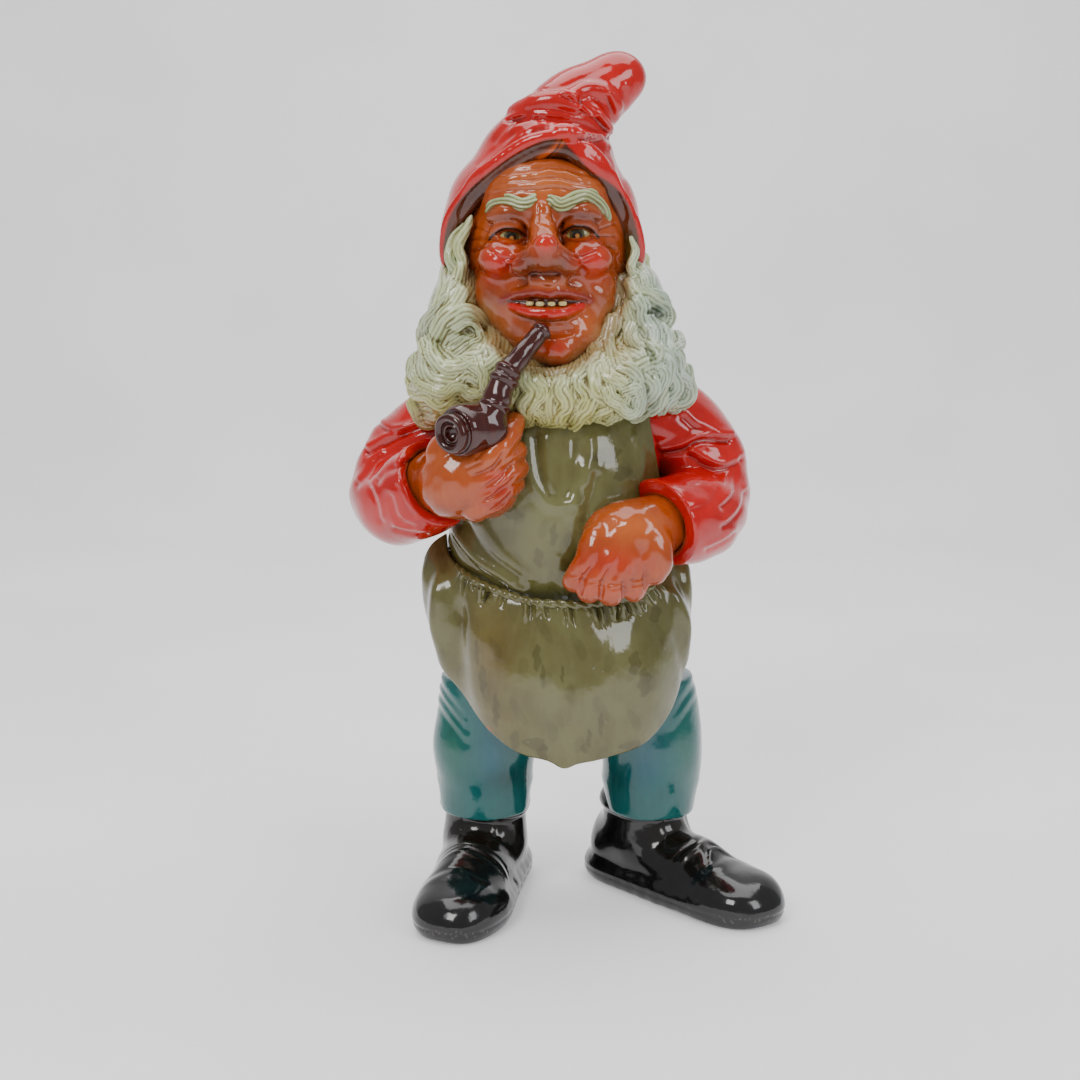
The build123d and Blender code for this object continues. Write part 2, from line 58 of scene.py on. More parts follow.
# ---------------------------------------------------------------- clay
class Clay:
    """A block of clay: the distance to its surface, held on a grid of points. Negative is inside."""

    def __init__(self, low, high, step):
        self.low = np.array(low, float)
        self.step = step
        self.count = np.ceil((np.array(high) - self.low) / step).astype(int) + 1
        self.depth = np.full(self.count, 50.0, np.float32)

    def window(self, low, high):
        """The grid points between two corners: their slices and their three coordinates."""
        first = np.maximum(np.floor((np.array(low) - self.low) / self.step).astype(int), 0)
        last = np.minimum(np.ceil((np.array(high) - self.low) / self.step).astype(int) + 1, self.count)
        cut = tuple(slice(a, max(a, b)) for a, b in zip(first, last))
        axes = [self.low[k] + self.step * np.arange(cut[k].start, cut[k].stop) for k in range(3)]
        return cut, np.meshgrid(*axes, indexing="ij", sparse=True)

    def press(self, cut, shape, blend, dig):
        """Adds a shape to the clay, or digs it out, with a soft fillet of the given size."""
        here = self.depth[cut]
        if dig:
            here = -here
        gap = np.clip(0.5 + 0.5 * (here - shape) / blend, 0, 1)
        joined = here * (1 - gap) + shape * gap - blend * gap * (1 - gap)
        self.depth[cut] = -joined if dig else joined

    def egg(self, centre, radii, blend=3.0, dig=False, turn=(0, 0, 0)):
        """A rounded lump with three radii, turned by degrees about X, Y and Z."""
        centre, radii = np.array(centre, float), np.array(radii, float)
        reach = radii.max() + 2 * blend + 2 * self.step
        cut, (x, y, z) = self.window(centre - reach, centre + reach)
        axes = np.array(Euler([math.radians(a) for a in turn]).to_matrix()).T
        x, y, z = x - centre[0], y - centre[1], z - centre[2]
        local = [axes[k][0] * x + axes[k][1] * y + axes[k][2] * z for k in range(3)]
        near = np.sqrt(sum((v / r) ** 2 for v, r in zip(local, radii)))
        slope = np.sqrt(sum((v / r**2) ** 2 for v, r in zip(local, radii))) + 1e-6
        self.press(cut, near * (near - 1) / slope, blend, dig)

    def bar(self, start, end, first, last=None, blend=3.0, dig=False):
        """A round bar that tapers from one radius to another, with round ends."""
        last = first if last is None else last
        start, end = np.array(start, float), np.array(end, float)
        reach = max(first, last) + 2 * blend + 2 * self.step
        cut, (x, y, z) = self.window(np.minimum(start, end) - reach, np.maximum(start, end) + reach)
        along = end - start
        x, y, z = x - start[0], y - start[1], z - start[2]
        share = np.clip((x * along[0] + y * along[1] + z * along[2]) / (along @ along + 1e-9), 0, 1)
        gap = np.sqrt((x - share * along[0]) ** 2 + (y - share * along[1]) ** 2 + (z - share * along[2]) ** 2)
        self.press(cut, gap - (first + share * (last - first)), blend, dig)

    def rope(self, points, radii, blend=3.0, dig=False, rounds=4):
        """A bent bar through several points."""
        points = smooth_line(points, rounds)
        radii = np.interp(np.linspace(0, 1, len(points)), np.linspace(0, 1, len(radii)), radii)
        for k in range(len(points) - 1):
            self.bar(points[k], points[k + 1], radii[k], radii[k + 1], blend, dig)

    def slab(self, point, normal, blend=1.0):
        """Takes away everything on the side that the normal points to."""
        cut, (x, y, z) = self.window(self.low, self.low + self.step * self.count)
        normal = np.array(normal, float) / np.linalg.norm(normal)
        side = (x - point[0]) * normal[0] + (y - point[1]) * normal[1] + (z - point[2]) * normal[2]
        self.press(cut, -side + 0 * self.depth, blend, True)

    def skin(self):
        """The surface as vertices and quads: one vertex in each cell that the surface passes through."""
        field = self.depth
        inside = field < 0
        nx, ny, nz = (n - 1 for n in field.shape)
        corners = [(i, j, k) for i in (0, 1) for j in (0, 1) for k in (0, 1)]
        total = sum(inside[i:i + nx, j:j + ny, k:k + nz].astype(np.int8) for i, j, k in corners)
        cells = np.argwhere((total > 0) & (total < 8))
        values = np.stack([field[cells[:, 0] + i, cells[:, 1] + j, cells[:, 2] + k] for i, j, k in corners],
                          1)
        place = np.zeros((len(cells), 3))
        hits = np.zeros((len(cells), 1))
        for a in range(8):
            for axis in range(3):
                if corners[a][axis]:
                    continue
                b = a + (4, 2, 1)[axis]
                va, vb = values[:, a], values[:, b]
                crossed = (va < 0) != (vb < 0)
                share = np.where(crossed, va / np.where(crossed, va - vb, 1), 0)
                point = np.tile(np.array(corners[a], float), (len(cells), 1))
                point[:, axis] += share
                place += point * crossed[:, None]
                hits += crossed[:, None]
        vertices = self.low + self.step * (cells + place / hits)
        number = np.full((nx, ny, nz), -1, np.int32)
        number[tuple(cells.T)] = np.arange(len(cells))
        quads = []
        for axis in range(3):
            step = [slice(None)] * 3
            step[axis] = slice(1, None)
            back = [slice(None)] * 3
            back[axis] = slice(None, -1)
            change = inside[tuple(back)] != inside[tuple(step)]
            at = np.argwhere(change)
            u, v = [k for k in range(3) if k != axis]
            beside = at[:, [u, v]]
            edge = np.array(inside.shape)[[u, v]] - 1
            at = at[(beside > 0).all(1) & (beside < edge).all(1)]
            outward = inside[tuple(back)][tuple(at.T)]
            ring = []
            for du, dv in ((1, 1), (0, 1), (0, 0), (1, 0)):
                cell = at.copy()
                cell[:, u] -= du
                cell[:, v] -= dv
                ring.append(number[tuple(cell.T)])
            ring = np.stack(ring, 1)
            if axis == 1:
                outward = ~outward
            ring[~outward] = ring[~outward][:, ::-1]
            quads.append(ring)
        return vertices, np.concatenate(quads)


def smooth_line(points, rounds=4):
    """A smooth line through the points (Catmull-Rom), with the given number of steps for each stretch."""
    points = np.array(points, float)
    if len(points) < 3:
        return points
    padded = np.vstack([2 * points[0] - points[1], points, 2 * points[-1] - points[-2]])
    line = []
    for k in range(1, len(padded) - 2):
        p0, p1, p2, p3 = padded[k - 1:k + 3]
        for t in np.arange(rounds) / rounds:
            line.append(0.5 * (2 * p1 + (p2 - p0) * t + (2 * p0 - 5 * p1 + 4 * p2 - p3) * t**2
                               + (3 * p1 - p0 - 3 * p2 + p3) * t**3))
    line.append(points[-1])
    return np.array(line)


def neighbours(quads, count):
    """For each vertex, the sum over the edges that leave it: edge ends and how many there are."""
    edges = np.concatenate([quads[:, [k, (k + 1) % 4]] for k in range(4)])
    edges = np.unique(np.sort(edges, 1), axis=0)
    both = np.concatenate([edges, edges[:, ::-1]])
    return both, np.bincount(both[:, 0], minlength=count)


def averaged(values, links, degree, rounds):
    """Values averaged with their neighbours' a number of times."""
    values = values.copy()
    for _ in range(rounds):
        ends = values[links[:, 1]]
        total = np.stack([np.bincount(links[:, 0], end, len(degree)) for end in ends.T], 1)
        values = 0.5 * values + 0.5 * total / degree[:, None]
    return values


def directions(vertices, quads):
    """The outward direction at each vertex."""
    across = vertices[quads[:, 2]] - vertices[quads[:, 0]]
    down = vertices[quads[:, 3]] - vertices[quads[:, 1]]
    facing = np.cross(across, down)
    out = np.zeros_like(vertices)
    for k in range(4):
        for axis in range(3):
            out[:, axis] += np.bincount(quads[:, k], facing[:, axis], len(vertices))
    return out / (np.linalg.norm(out, axis=1, keepdims=True) + 1e-12)


def hump(x, centre, width):
    """A smooth bump of height 1."""
    return np.exp(-(((x - centre) / width) ** 2))


def rise(x, low, high):
    """Goes smoothly from 0 at low to 1 at high."""
    t = np.clip((x - low) / (high - low), 0, 1)
    return t * t * (3 - 2 * t)


def tint(*levels):
    """A paint colour given as 0 to 255 screen levels."""
    return np.array([((v / 255 + 0.055) / 1.055) ** 2.4 if v > 10 else v / 255 / 12.92 for v in levels])


def add(name, data):
    """A new object in the scene."""
    piece = bpy.data.objects.new(name, data)
    bpy.context.collection.objects.link(piece)
    return piece


def lay_on(mesh, groove, colour=None):
    """Writes the depth of the grooves and the paint on a mesh, and shades it smooth."""
    mesh.polygons.foreach_set("use_smooth", np.ones(len(mesh.polygons), bool))
    layer = mesh.attributes.new("groove", "FLOAT", "POINT")
    layer.data.foreach_set("value", groove.astype(np.float32))
    if colour is not None:
        layer = mesh.attributes.new("paint", "FLOAT_COLOR", "POINT")
        cover = np.hstack([colour, np.ones((len(colour), 1))])
        layer.data.foreach_set("color", cover.astype(np.float32).ravel())


def solid(name, clay, finish, nodes=(), paint=None, **others):
    """Turns a block of clay into a finished piece."""
    shell(name, *clay.skin(), finish, nodes, paint, **others)


def shell(name, vertices, quads, finish, nodes=(), paint=None, smoothing=2, relief=None, body="figure"):
    """Turns a skin into a finished piece: smooths it, adds relief, paints it and hands it to the frame."""
    links, degree = neighbours(quads, len(vertices))
    vertices = averaged(vertices, links, degree, smoothing)
    outward = directions(vertices, quads)
    if relief is not None:
        vertices = vertices + outward * relief(vertices, outward)[:, None]
        outward = directions(vertices, quads)
    mesh = bpy.data.meshes.new(name)
    mesh.vertices.add(len(vertices))
    mesh.vertices.foreach_set("co", (vertices * METRE).astype(np.float32).ravel())
    mesh.loops.add(quads.size)
    mesh.loops.foreach_set("vertex_index", quads.astype(np.int32).ravel())
    mesh.polygons.add(len(quads))
    mesh.polygons.foreach_set("loop_start", np.arange(0, quads.size, 4, dtype=np.int32))
    mesh.update(calc_edges=True)
    mesh.validate()
    levelled = averaged(vertices, links, degree, 10)
    groove = np.sum((levelled - vertices) * outward, 1)
    lay_on(mesh, groove, None if paint is None else paint(vertices, outward, groove))
    hand_over(add(name, mesh), body, finish, nodes)


def hand_over(piece, body, finish, nodes=()):
    """Gives a piece its enamel, its body and the castings that it stands for."""
    if not piece.data.materials:
        piece.data.materials.append(ENAMEL[finish])
    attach(piece, body)
    if nodes:
        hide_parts(*nodes)


# ---------------------------------------------------------------- enamels
def group(name, inputs, outputs):
    """A new shader node group with its sockets; returns the tree and its two end nodes."""
    tree = bpy.data.node_groups.new(name, "ShaderNodeTree")
    for label, kind, value in inputs:
        socket = tree.interface.new_socket(label, in_out="INPUT", socket_type=kind)
        socket.default_value = value
    for label, kind in outputs:
        tree.interface.new_socket(label, in_out="OUTPUT", socket_type=kind)
    return tree, tree.nodes.new("NodeGroupInput"), tree.nodes.new("NodeGroupOutput")


def maths(tree, operation, first, second):
    """A Math node fed by sockets or numbers."""
    node = tree.nodes.new("ShaderNodeMath")
    node.operation = operation
    for slot, value in enumerate((first, second)):
        if isinstance(value, (int, float)):
            node.inputs[slot].default_value = value
        else:
            tree.links.new(value, node.inputs[slot])
    return node.outputs[0]


def mixed(tree, share, first, second, how="MIX"):
    """A colour mix fed by sockets or colours."""
    node = tree.nodes.new("ShaderNodeMix")
    node.data_type = "RGBA"
    node.blend_type = how
    for slot, value in ((0, share), (6, first), (7, second)):
        if isinstance(value, (int, float)):
            node.inputs[slot].default_value = value
        elif isinstance(value, (tuple, list, np.ndarray)):
            node.inputs[slot].default_value = (*value[:3], 1)
        else:
            tree.links.new(value, node.inputs[slot])
    return node.outputs[2]


def noise(tree, scale, detail=4.0, stretch=(1, 1, 1), seed=0.0, rough=0.5):
    """Noise on object coordinates, in metres, stretched along the axes."""
    place = tree.nodes.new("ShaderNodeTexCoord")
    shift = tree.nodes.new("ShaderNodeMapping")
    shift.inputs["Location"].default_value = (seed, seed * 0.7, -seed)
    shift.inputs["Scale"].default_value = stretch
    tree.links.new(place.outputs["Object"], shift.inputs["Vector"])
    node = tree.nodes.new("ShaderNodeTexNoise")
    node.inputs["Detail"].default_value = detail
    node.inputs["Roughness"].default_value = rough
    node.inputs["Scale"].default_value = scale
    tree.links.new(shift.outputs[0], node.inputs["Vector"])
    return node.outputs["Fac"]


def band(tree, value, low, high):
    """Maps low..high to 0..1, smoothly."""
    node = tree.nodes.new("ShaderNodeMapRange")
    node.interpolation_type = "SMOOTHSTEP"
    tree.links.new(value, node.inputs["Value"])
    node.inputs["From Min"].default_value = low
    node.inputs["From Max"].default_value = high
    return node.outputs["Result"]


def brushwork_group():
    """Hand-laid enamel: cloudy patches and brush streaks, with painted shade in the hollows and a painted
    highlight on the ridges.
    """
    tree, given, result = group("brushwork", [
        ("Paint", "NodeSocketColor", (0.5, 0.5, 0.5, 1)),
        ("Deep paint", "NodeSocketColor", (0.2, 0.2, 0.2, 1)),
        ("Thin paint", "NodeSocketColor", (0.7, 0.7, 0.7, 1)),
        ("Patches", "NodeSocketFloat", 0.4),
        ("Streaks", "NodeSocketFloat", 0.3),
        ("Hollow shade", "NodeSocketFloat", 0.6),
    ], [("Color", "NodeSocketColor")])
    cloud = band(tree, noise(tree, 38.0, 5.0, seed=1.3), 0.38, 0.66)
    streak = band(tree, noise(tree, 230.0, 3.0, (1, 1, 0.16), 4.1), 0.42, 0.70)
    groove = tree.nodes.new("ShaderNodeAttribute")
    groove.attribute_name = "groove"
    # Painted shade in the hollows and a painted highlight on the ridges, both taken from the groove layer.
    hollow = band(tree, groove.outputs["Fac"], 0.05, 0.75)
    ridge = band(tree, maths(tree, "MULTIPLY", groove.outputs["Fac"], -1.0), 0.12, 0.8)
    inputs = given.outputs
    colour = mixed(tree, maths(tree, "MULTIPLY", cloud, inputs["Patches"]), inputs["Paint"],
                   inputs["Deep paint"])
    colour = mixed(tree, maths(tree, "MULTIPLY", streak, inputs["Streaks"]), colour, inputs["Thin paint"])
    # Painted highlight on the ridges, then painted shade in the hollows.
    colour = mixed(tree, maths(tree, "MULTIPLY", ridge, 0.35), colour, inputs["Thin paint"])
    colour = mixed(tree, maths(tree, "MULTIPLY", hollow, inputs["Hollow shade"]), colour, inputs["Deep paint"])
    tree.links.new(colour, result.inputs["Color"])
    return tree


def wear_group():
    """Small chips through the enamel, and a darker tint in the grooves, which is painted shade."""
    tree, given, result = group("wear", [
        ("Color", "NodeSocketColor", (0.5, 0.5, 0.5, 1)),
        ("Chip colour", "NodeSocketColor", (0.3, 0.35, 0.4, 1)),
        ("Chips", "NodeSocketFloat", 0.3),
        ("Groove tint colour", "NodeSocketColor", (0.45, 0.38, 0.28, 1)),
        ("Groove tint", "NodeSocketFloat", 0.3),
    ], [("Color", "NodeSocketColor"), ("Chip mask", "NodeSocketFloat")])
    speck = noise(tree, 330.0, 2.0, seed=9.2, rough=0.7)
    region = band(tree, noise(tree, 22.0, 2.0, seed=3.7), 0.52, 0.68)
    chip = maths(tree, "MULTIPLY", band(tree, speck, 0.70, 0.735), region)
    chip = maths(tree, "MULTIPLY", chip, given.outputs["Chips"])
    groove = tree.nodes.new("ShaderNodeAttribute")
    groove.attribute_name = "groove"
    # Painted shade: the grooves take the darker groove tint.
    in_grooves = maths(tree, "MULTIPLY", band(tree, groove.outputs["Fac"], 0.25, 1.1), given.outputs["Groove tint"])
    colour = mixed(tree, in_grooves, given.outputs["Color"], given.outputs["Groove tint colour"])
    colour = mixed(tree, chip, colour, given.outputs["Chip colour"])
    tree.links.new(colour, result.inputs["Color"])
    tree.links.new(chip, result.inputs["Chip mask"])
    return tree


def glaze_group():
    """The glaze's surface: slow waves from the mould and brush, fine orange peel, and pits at the chips."""
    tree, given, result = group("glaze", [
        ("Waves", "NodeSocketFloat", 1.0),
        ("Peel", "NodeSocketFloat", 1.0),
        ("Chip mask", "NodeSocketFloat", 0.0),
        ("Gloss", "NodeSocketFloat", 0.12),
    ], [("Height", "NodeSocketFloat"), ("Roughness", "NodeSocketFloat")])
    wave = maths(tree, "MULTIPLY", noise(tree, 75.0, 2.0, seed=2.2), given.outputs["Waves"])
    fine = maths(tree, "MULTIPLY", given.outputs["Peel"], 0.12)
    peel = maths(tree, "MULTIPLY", noise(tree, 520.0, 2.0, (1, 1, 0.5), 5.5), fine)
    height = maths(tree, "ADD", wave, peel)
    height = maths(tree, "SUBTRACT", height, maths(tree, "MULTIPLY", given.outputs["Chip mask"], 0.35))
    smear = maths(tree, "MULTIPLY", band(tree, noise(tree, 60.0, 4.0, seed=7.9), 0.45, 0.75), 0.10)
    rough = maths(tree, "ADD", given.outputs["Gloss"], smear)
    rough = maths(tree, "ADD", rough, maths(tree, "MULTIPLY", given.outputs["Chip mask"], 0.4))
    tree.links.new(height, result.inputs["Height"])
    tree.links.new(rough, result.inputs["Roughness"])
    return tree


BRUSHWORK, WEAR, GLAZE = brushwork_group(), wear_group(), glaze_group()


def enamel(name, paint, deep, thin, patches=0.4, streaks=0.3, hollow_shade=0.6, chips=0.3,
           chip_colour=(0.25, 0.3, 0.34),
           groove_tint=0.25, groove_tint_colour=(0.30, 0.22, 0.13), gloss=0.10, waves=1.0, painted=False):
    """A glossy hand-painted enamel. A painted one takes its colour from the piece's own paint layer."""
    material = bpy.data.materials.new(name)
    material.use_nodes = True
    tree = material.node_tree
    shader = tree.nodes["Principled BSDF"]
    brush = tree.nodes.new("ShaderNodeGroup")
    brush.node_tree = BRUSHWORK
    worn = tree.nodes.new("ShaderNodeGroup")
    worn.node_tree = WEAR
    glaze = tree.nodes.new("ShaderNodeGroup")
    glaze.node_tree = GLAZE
    if painted:
        layer = tree.nodes.new("ShaderNodeAttribute")
        layer.attribute_name = "paint"
        tree.links.new(layer.outputs["Color"], brush.inputs["Paint"])
        tree.links.new(mixed(tree, 1.0, layer.outputs["Color"], deep, "MULTIPLY"), brush.inputs["Deep paint"])
        tree.links.new(mixed(tree, 1.0, layer.outputs["Color"], thin, "SCREEN"), brush.inputs["Thin paint"])
    else:
        for label, colour in (("Paint", paint), ("Deep paint", deep), ("Thin paint", thin)):
            brush.inputs[label].default_value = (*colour[:3], 1)
    for label, value in (("Patches", patches), ("Streaks", streaks), ("Hollow shade", hollow_shade)):
        brush.inputs[label].default_value = value
    tree.links.new(brush.outputs["Color"], worn.inputs["Color"])
    worn.inputs["Chips"].default_value = chips
    worn.inputs["Chip colour"].default_value = (*chip_colour, 1)
    worn.inputs["Groove tint"].default_value = groove_tint
    worn.inputs["Groove tint colour"].default_value = (*groove_tint_colour, 1)
    tree.links.new(worn.outputs["Color"], shader.inputs["Base Color"])
    tree.links.new(worn.outputs["Chip mask"], glaze.inputs["Chip mask"])
    glaze.inputs["Waves"].default_value = waves
    glaze.inputs["Gloss"].default_value = gloss
    tree.links.new(glaze.outputs["Roughness"], shader.inputs["Roughness"])
    bump = tree.nodes.new("ShaderNodeBump")
    bump.inputs["Strength"].default_value = 0.35
    bump.inputs["Distance"].default_value = 0.0012
    tree.links.new(glaze.outputs["Height"], bump.inputs["Height"])
    tree.links.new(bump.outputs["Normal"], shader.inputs["Normal"])
    shader.inputs["IOR"].default_value = 1.55
    shader.inputs["Coat Weight"].default_value = 0.2
    shader.inputs["Coat Roughness"].default_value = 0.04
    shader.inputs["Coat IOR"].default_value = 1.5
    return material


# In each enamel the groove tint and the hollow shade darken the grooves: painted shade.
ENAMEL = {
    "red_enamel": enamel("red_enamel", None, (0.55, 0.30, 0.30), (0.05, 0.012, 0.008), 0.35, 0.18, 0.5, 0.15,
                         groove_tint=0.12, groove_tint_colour=(0.10, 0.008, 0.004), painted=True),
    "flesh_enamel": enamel("flesh_enamel", None, (0.45, 0.28, 0.20), (0.06, 0.04, 0.02), 0.35, 0.25, 0.75,
                           0.35,
                           groove_tint=0.25, groove_tint_colour=(0.10, 0.035, 0.015), painted=True),
    "beard_enamel": enamel("beard_enamel", None, (0.80, 0.78, 0.50), (0.10, 0.12, 0.10), 0.35, 0.3, 0.2, 0.2,
                           groove_tint=0.1, groove_tint_colour=(0.22, 0.15, 0.04), painted=True, gloss=0.16),
    "apron_enamel": enamel("apron_enamel", None, (0.62, 0.52, 0.36), (0.035, 0.035, 0.028), 0.5, 0.16, 0.6,
                           0.35,
                           groove_tint=0.3, groove_tint_colour=(0.035, 0.028, 0.010), gloss=0.08, painted=True),
    "trouser_enamel": enamel("trouser_enamel", None, (0.34, 0.60, 0.62), (0.015, 0.03, 0.03), 0.4, 0.2, 0.6,
                             0.15,
                             groove_tint=0.15, groove_tint_colour=(0.02, 0.05, 0.05), painted=True),
    "shoe_enamel": enamel("shoe_enamel", None, (0.5, 0.45, 0.40), (0.006, 0.006, 0.006), 0.4, 0.2, 0.3, 0.5,
                          chip_colour=(0.10, 0.10, 0.09), groove_tint=0.1, groove_tint_colour=(0.05, 0.047, 0.042),
                          gloss=0.12,
                          painted=True),
    "pipe_enamel": enamel("pipe_enamel", tint(58, 16, 8), tint(26, 6, 4), tint(84, 30, 18), 0.4, 0.25, 0.6,
                          0.1,
                          groove_tint=0.25, groove_tint_colour=(0.012, 0.006, 0.005), gloss=0.10, waves=0.6),
}

RED = tint(188, 6, 2)
BROWN = tint(84, 36, 14)
SKIN = tint(168, 72, 22)
# The colour of painted shade on the skin.
SHADED_SKIN = tint(92, 30, 8)
CHEEK = tint(190, 10, 6)
LIP = tint(200, 20, 6)
OLIVE = tint(100, 98, 56)
DARK_OLIVE = tint(66, 60, 22)
BEARD = tint(198, 207, 160)
OCHRE = tint(96, 78, 14)


def over(colour, share, ink):
    """Lays an ink over a colour: a share of 1 covers it, 0 leaves it."""
    return colour * (1 - share) + ink * share


def blot(colour, points, centre, width, share, ink):
    """Lays a soft patch of paint over a colour, with its centre and its widths in millimetres."""
    near = np.sum(((points - np.array(centre)) / np.array(width)) ** 2, 1)
    weight = (share * np.exp(-near))[:, None]
    return over(colour, weight, ink)


def crease(points, line, width, axes=(0, 2), front=None):
    """How near each point is to a line drawn on the piece, from 0 to 1, seen along the axis left out."""
    line = smooth_line(line, 6)
    flat = points[:, list(axes)]
    best = np.full(len(points), 1e9)
    for a, b in zip(line[:-1], line[1:]):
        along = b - a
        share = np.clip(((flat - a) @ along) / (along @ along + 1e-9), 0, 1)
        gap = flat - a - share[:, None] * along
        best = np.minimum(best, np.sum(gap**2, 1))
    near = np.exp(-best / width**2)
    return near if front is None else near * (points[:, 1] < front)


# ---------------------------------------------------------------- head
# Heights and depths of the face, from the head casting: its middle and the line of the eyes.
FACE_X = -15.5
LEFT_EYE = np.array([6.5, -20.5, 475.5])
RIGHT_EYE = np.array([-39.5, -18.5, 474.0])


def build_head():
    clay = Clay(*room_for("head", margin=16), 0.95)
    clay.egg((-14, 20, 464), (57, 54, 74), 4)
    clay.egg((-14, -2, 432), (44, 36, 40), 12)
    clay.egg((FACE_X, -12, 500), (40, 22, 26), 10)
    for side, eye in ((-1, RIGHT_EYE), (1, LEFT_EYE)):
        clay.egg(eye + (0, -7, 0), (14, 11, 12), 5, True)
        clay.egg(eye + (0, 7.5, 0), (13.6, 11.5, 11.5), 2)
        clay.rope([eye + (side * -11, -0.5, 0.5), eye + (side * -5, -7.2, 6.2), eye + (side * 3, -7.0, 7.0),
                   eye + (side * 9, -2.5, 3.6), eye + (side * 14, 2, -2)], [1.6, 3.2, 3.4, 3.0, 1.6], 2)
        clay.rope([eye + (side * -10.5, -1, -2), eye + (side * -4, -6.8, -6.4), eye + (side * 4, -6.4, -6.2),
                   eye + (side * 11, 0.5, -2)], [1.2, 2.3, 2.3, 1.2], 2)
        clay.rope([eye + (side * -8, -6, -9), eye + (side * 2, -9, -12.5), eye + (side * 13, -4, -9)],
                  [1.8, 3.0, 1.8], 3)
        clay.rope([eye + (side * -9, -7, 12), eye + (side * 2, -9, 15), eye + (side * 13, -3, 12)],
                  [2.0, 3.4, 2.2], 4)
    clay.egg((-17.5, -29, 491), (7.5, 8, 6.5), 4)
    clay.egg((-17.5, -33, 490.5), (5.6, 4.6, 5.2), 2.5)
    clay.egg((-17.2, -34.5, 480.5), (5.2, 5.5, 4.2), 2.5)
    clay.rope([(-17.5, -33, 484), (-17, -38, 476), (-15.8, -46, 469)], [5.4, 6.6, 7.6], 4)
    clay.egg((-15.3, -49, 461), (14.5, 11.5, 10.5), 5)
    clay.egg((-15.3, -57.0, 468.0), (7.8, 6.5, 7.2), 2.2)
    for side in (-1, 1):
        clay.egg((-15.5 + side * 12.5, -42, 456.5), (10.5, 10.5, 8.6), 5, turn=(0, side * 18, 0))
        clay.egg((-15.5 + side * 7.5, -45.5, 448.8), (3.4, 5.0, 2.2), 1.5, True)
        clay.egg((-15.5 + side * 29, -25, 459), (15.5, 14.5, 12.0), 7)
        clay.egg((-15.5 + side * 28, -29.5, 460.5), (11, 9, 9), 8)
        clay.egg((-15.5 + side * 36, -14, 437), (11, 12, 16), 8)
        clay.rope([(-15.5 + side * 23.5, -40, 453), (-15.5 + side * 27, -37.5, 444),
                   (-15.5 + side * 29.5, -31, 432)],
                  [1.0, 2.0, 1.2], 3.5, True)
    clay.egg((-14, -40, 445), (13, 7, 6), 4)
    clay.egg((-13.5, -43.5, 443.8), (5.4, 4.5, 2.6), 2)
    clay.rope([(-45, -26, 432), (-33, -35, 436.5), (-21, -41, 438.5), (-13.5, -42, 437.5), (-7, -41, 438.5),
               (4, -35, 436.5), (15, -26, 432)], [1.6, 3.0, 3.6, 3.4, 3.6, 3.0, 1.6], 2.2)
    clay.rope([(-38, -31, 428.5), (-27, -39, 425), (-14, -42.5, 424), (-2, -39, 425), (9, -31, 428.5)],
              [1.6, 3.2, 3.9, 3.2, 1.6], 2.5)
    clay.rope([(-41, -34, 431.5), (-28, -42, 430.6), (-14, -45, 430.2), (0, -42, 430.6), (14, -33, 431.5)],
              [1.0, 1.9, 2.2, 1.9, 1.0], 1.2, True)
    clay.egg((-9, -17, 409), (33, 22, 19), 8)
    clay.egg((-8, -30, 401), (17, 13, 13), 6)
    clay.egg((-7.5, -35, 400), (11.5, 8.5, 9.5), 4)
    clay.rope([(-24, -38, 413.5), (-10, -41, 411.5), (4, -38, 413.5)], [1.6, 2.4, 1.6], 3, True)
    clay.egg((-46, -16, 424), (5, 9, 8), 5)
    clay.egg((18, -16, 424), (5, 9, 8), 5)

    def relief(p, out):
        x, y, z = p.T
        front = rise(-y, -2, 12)
        lift = 0 * x
        for height, bend in ((503, 1.5), (509, 2.5), (515.5, 3)):
            line = height + bend * np.cos((x + 15) / 13) - 0.6 * np.sin(x / 5)
            lift -= 1.15 * hump(z, line, 1.2) * hump(x, -15, 34) * front
            lift += 0.7 * hump(z, line + 3.2, 2.2) * hump(x, -15, 34) * front
        for side, eye in ((-1, RIGHT_EYE), (1, LEFT_EYE)):
            for row in range(3):
                start = eye + (side * 14, 0, 3 - 4.5 * row)
                end = eye + (side * 25, 0, 7 - 8.5 * row)
                lift -= 1.0 * crease(p, [start[[0, 2]], end[[0, 2]]], 1.0, front=14)
            for row in range(4):
                start = np.array((FACE_X + side * 48, 453 - 6 * row))
                end = np.array((FACE_X + side * (53 - row), 445 - 6 * row))
                lift -= 0.9 * crease(p, [start, end], 1.1, front=30)
            lift -= 1.3 * crease(p,
                                 [eye[[0, 2]] + (-13, -9), eye[[0, 2]] + (-2, -15),
                                  eye[[0, 2]] + (11, -11)], 1.3,
                                 front=-8)
            lift -= 0.8 * crease(p,
                                 [eye[[0, 2]] + (-10, -13.5), eye[[0, 2]] + (0, -19),
                                  eye[[0, 2]] + (9, -16)], 1.2,
                                 front=-8)
            lift -= 0.9 * crease(p, [(FACE_X + side * 4.5, 493), (FACE_X + side * 5, 483)], 1.0, front=-10)
        lift += 0.25 * np.sin(x * 0.55 + z * 0.2) * np.sin(z * 0.42 + y * 0.3)
        return lift

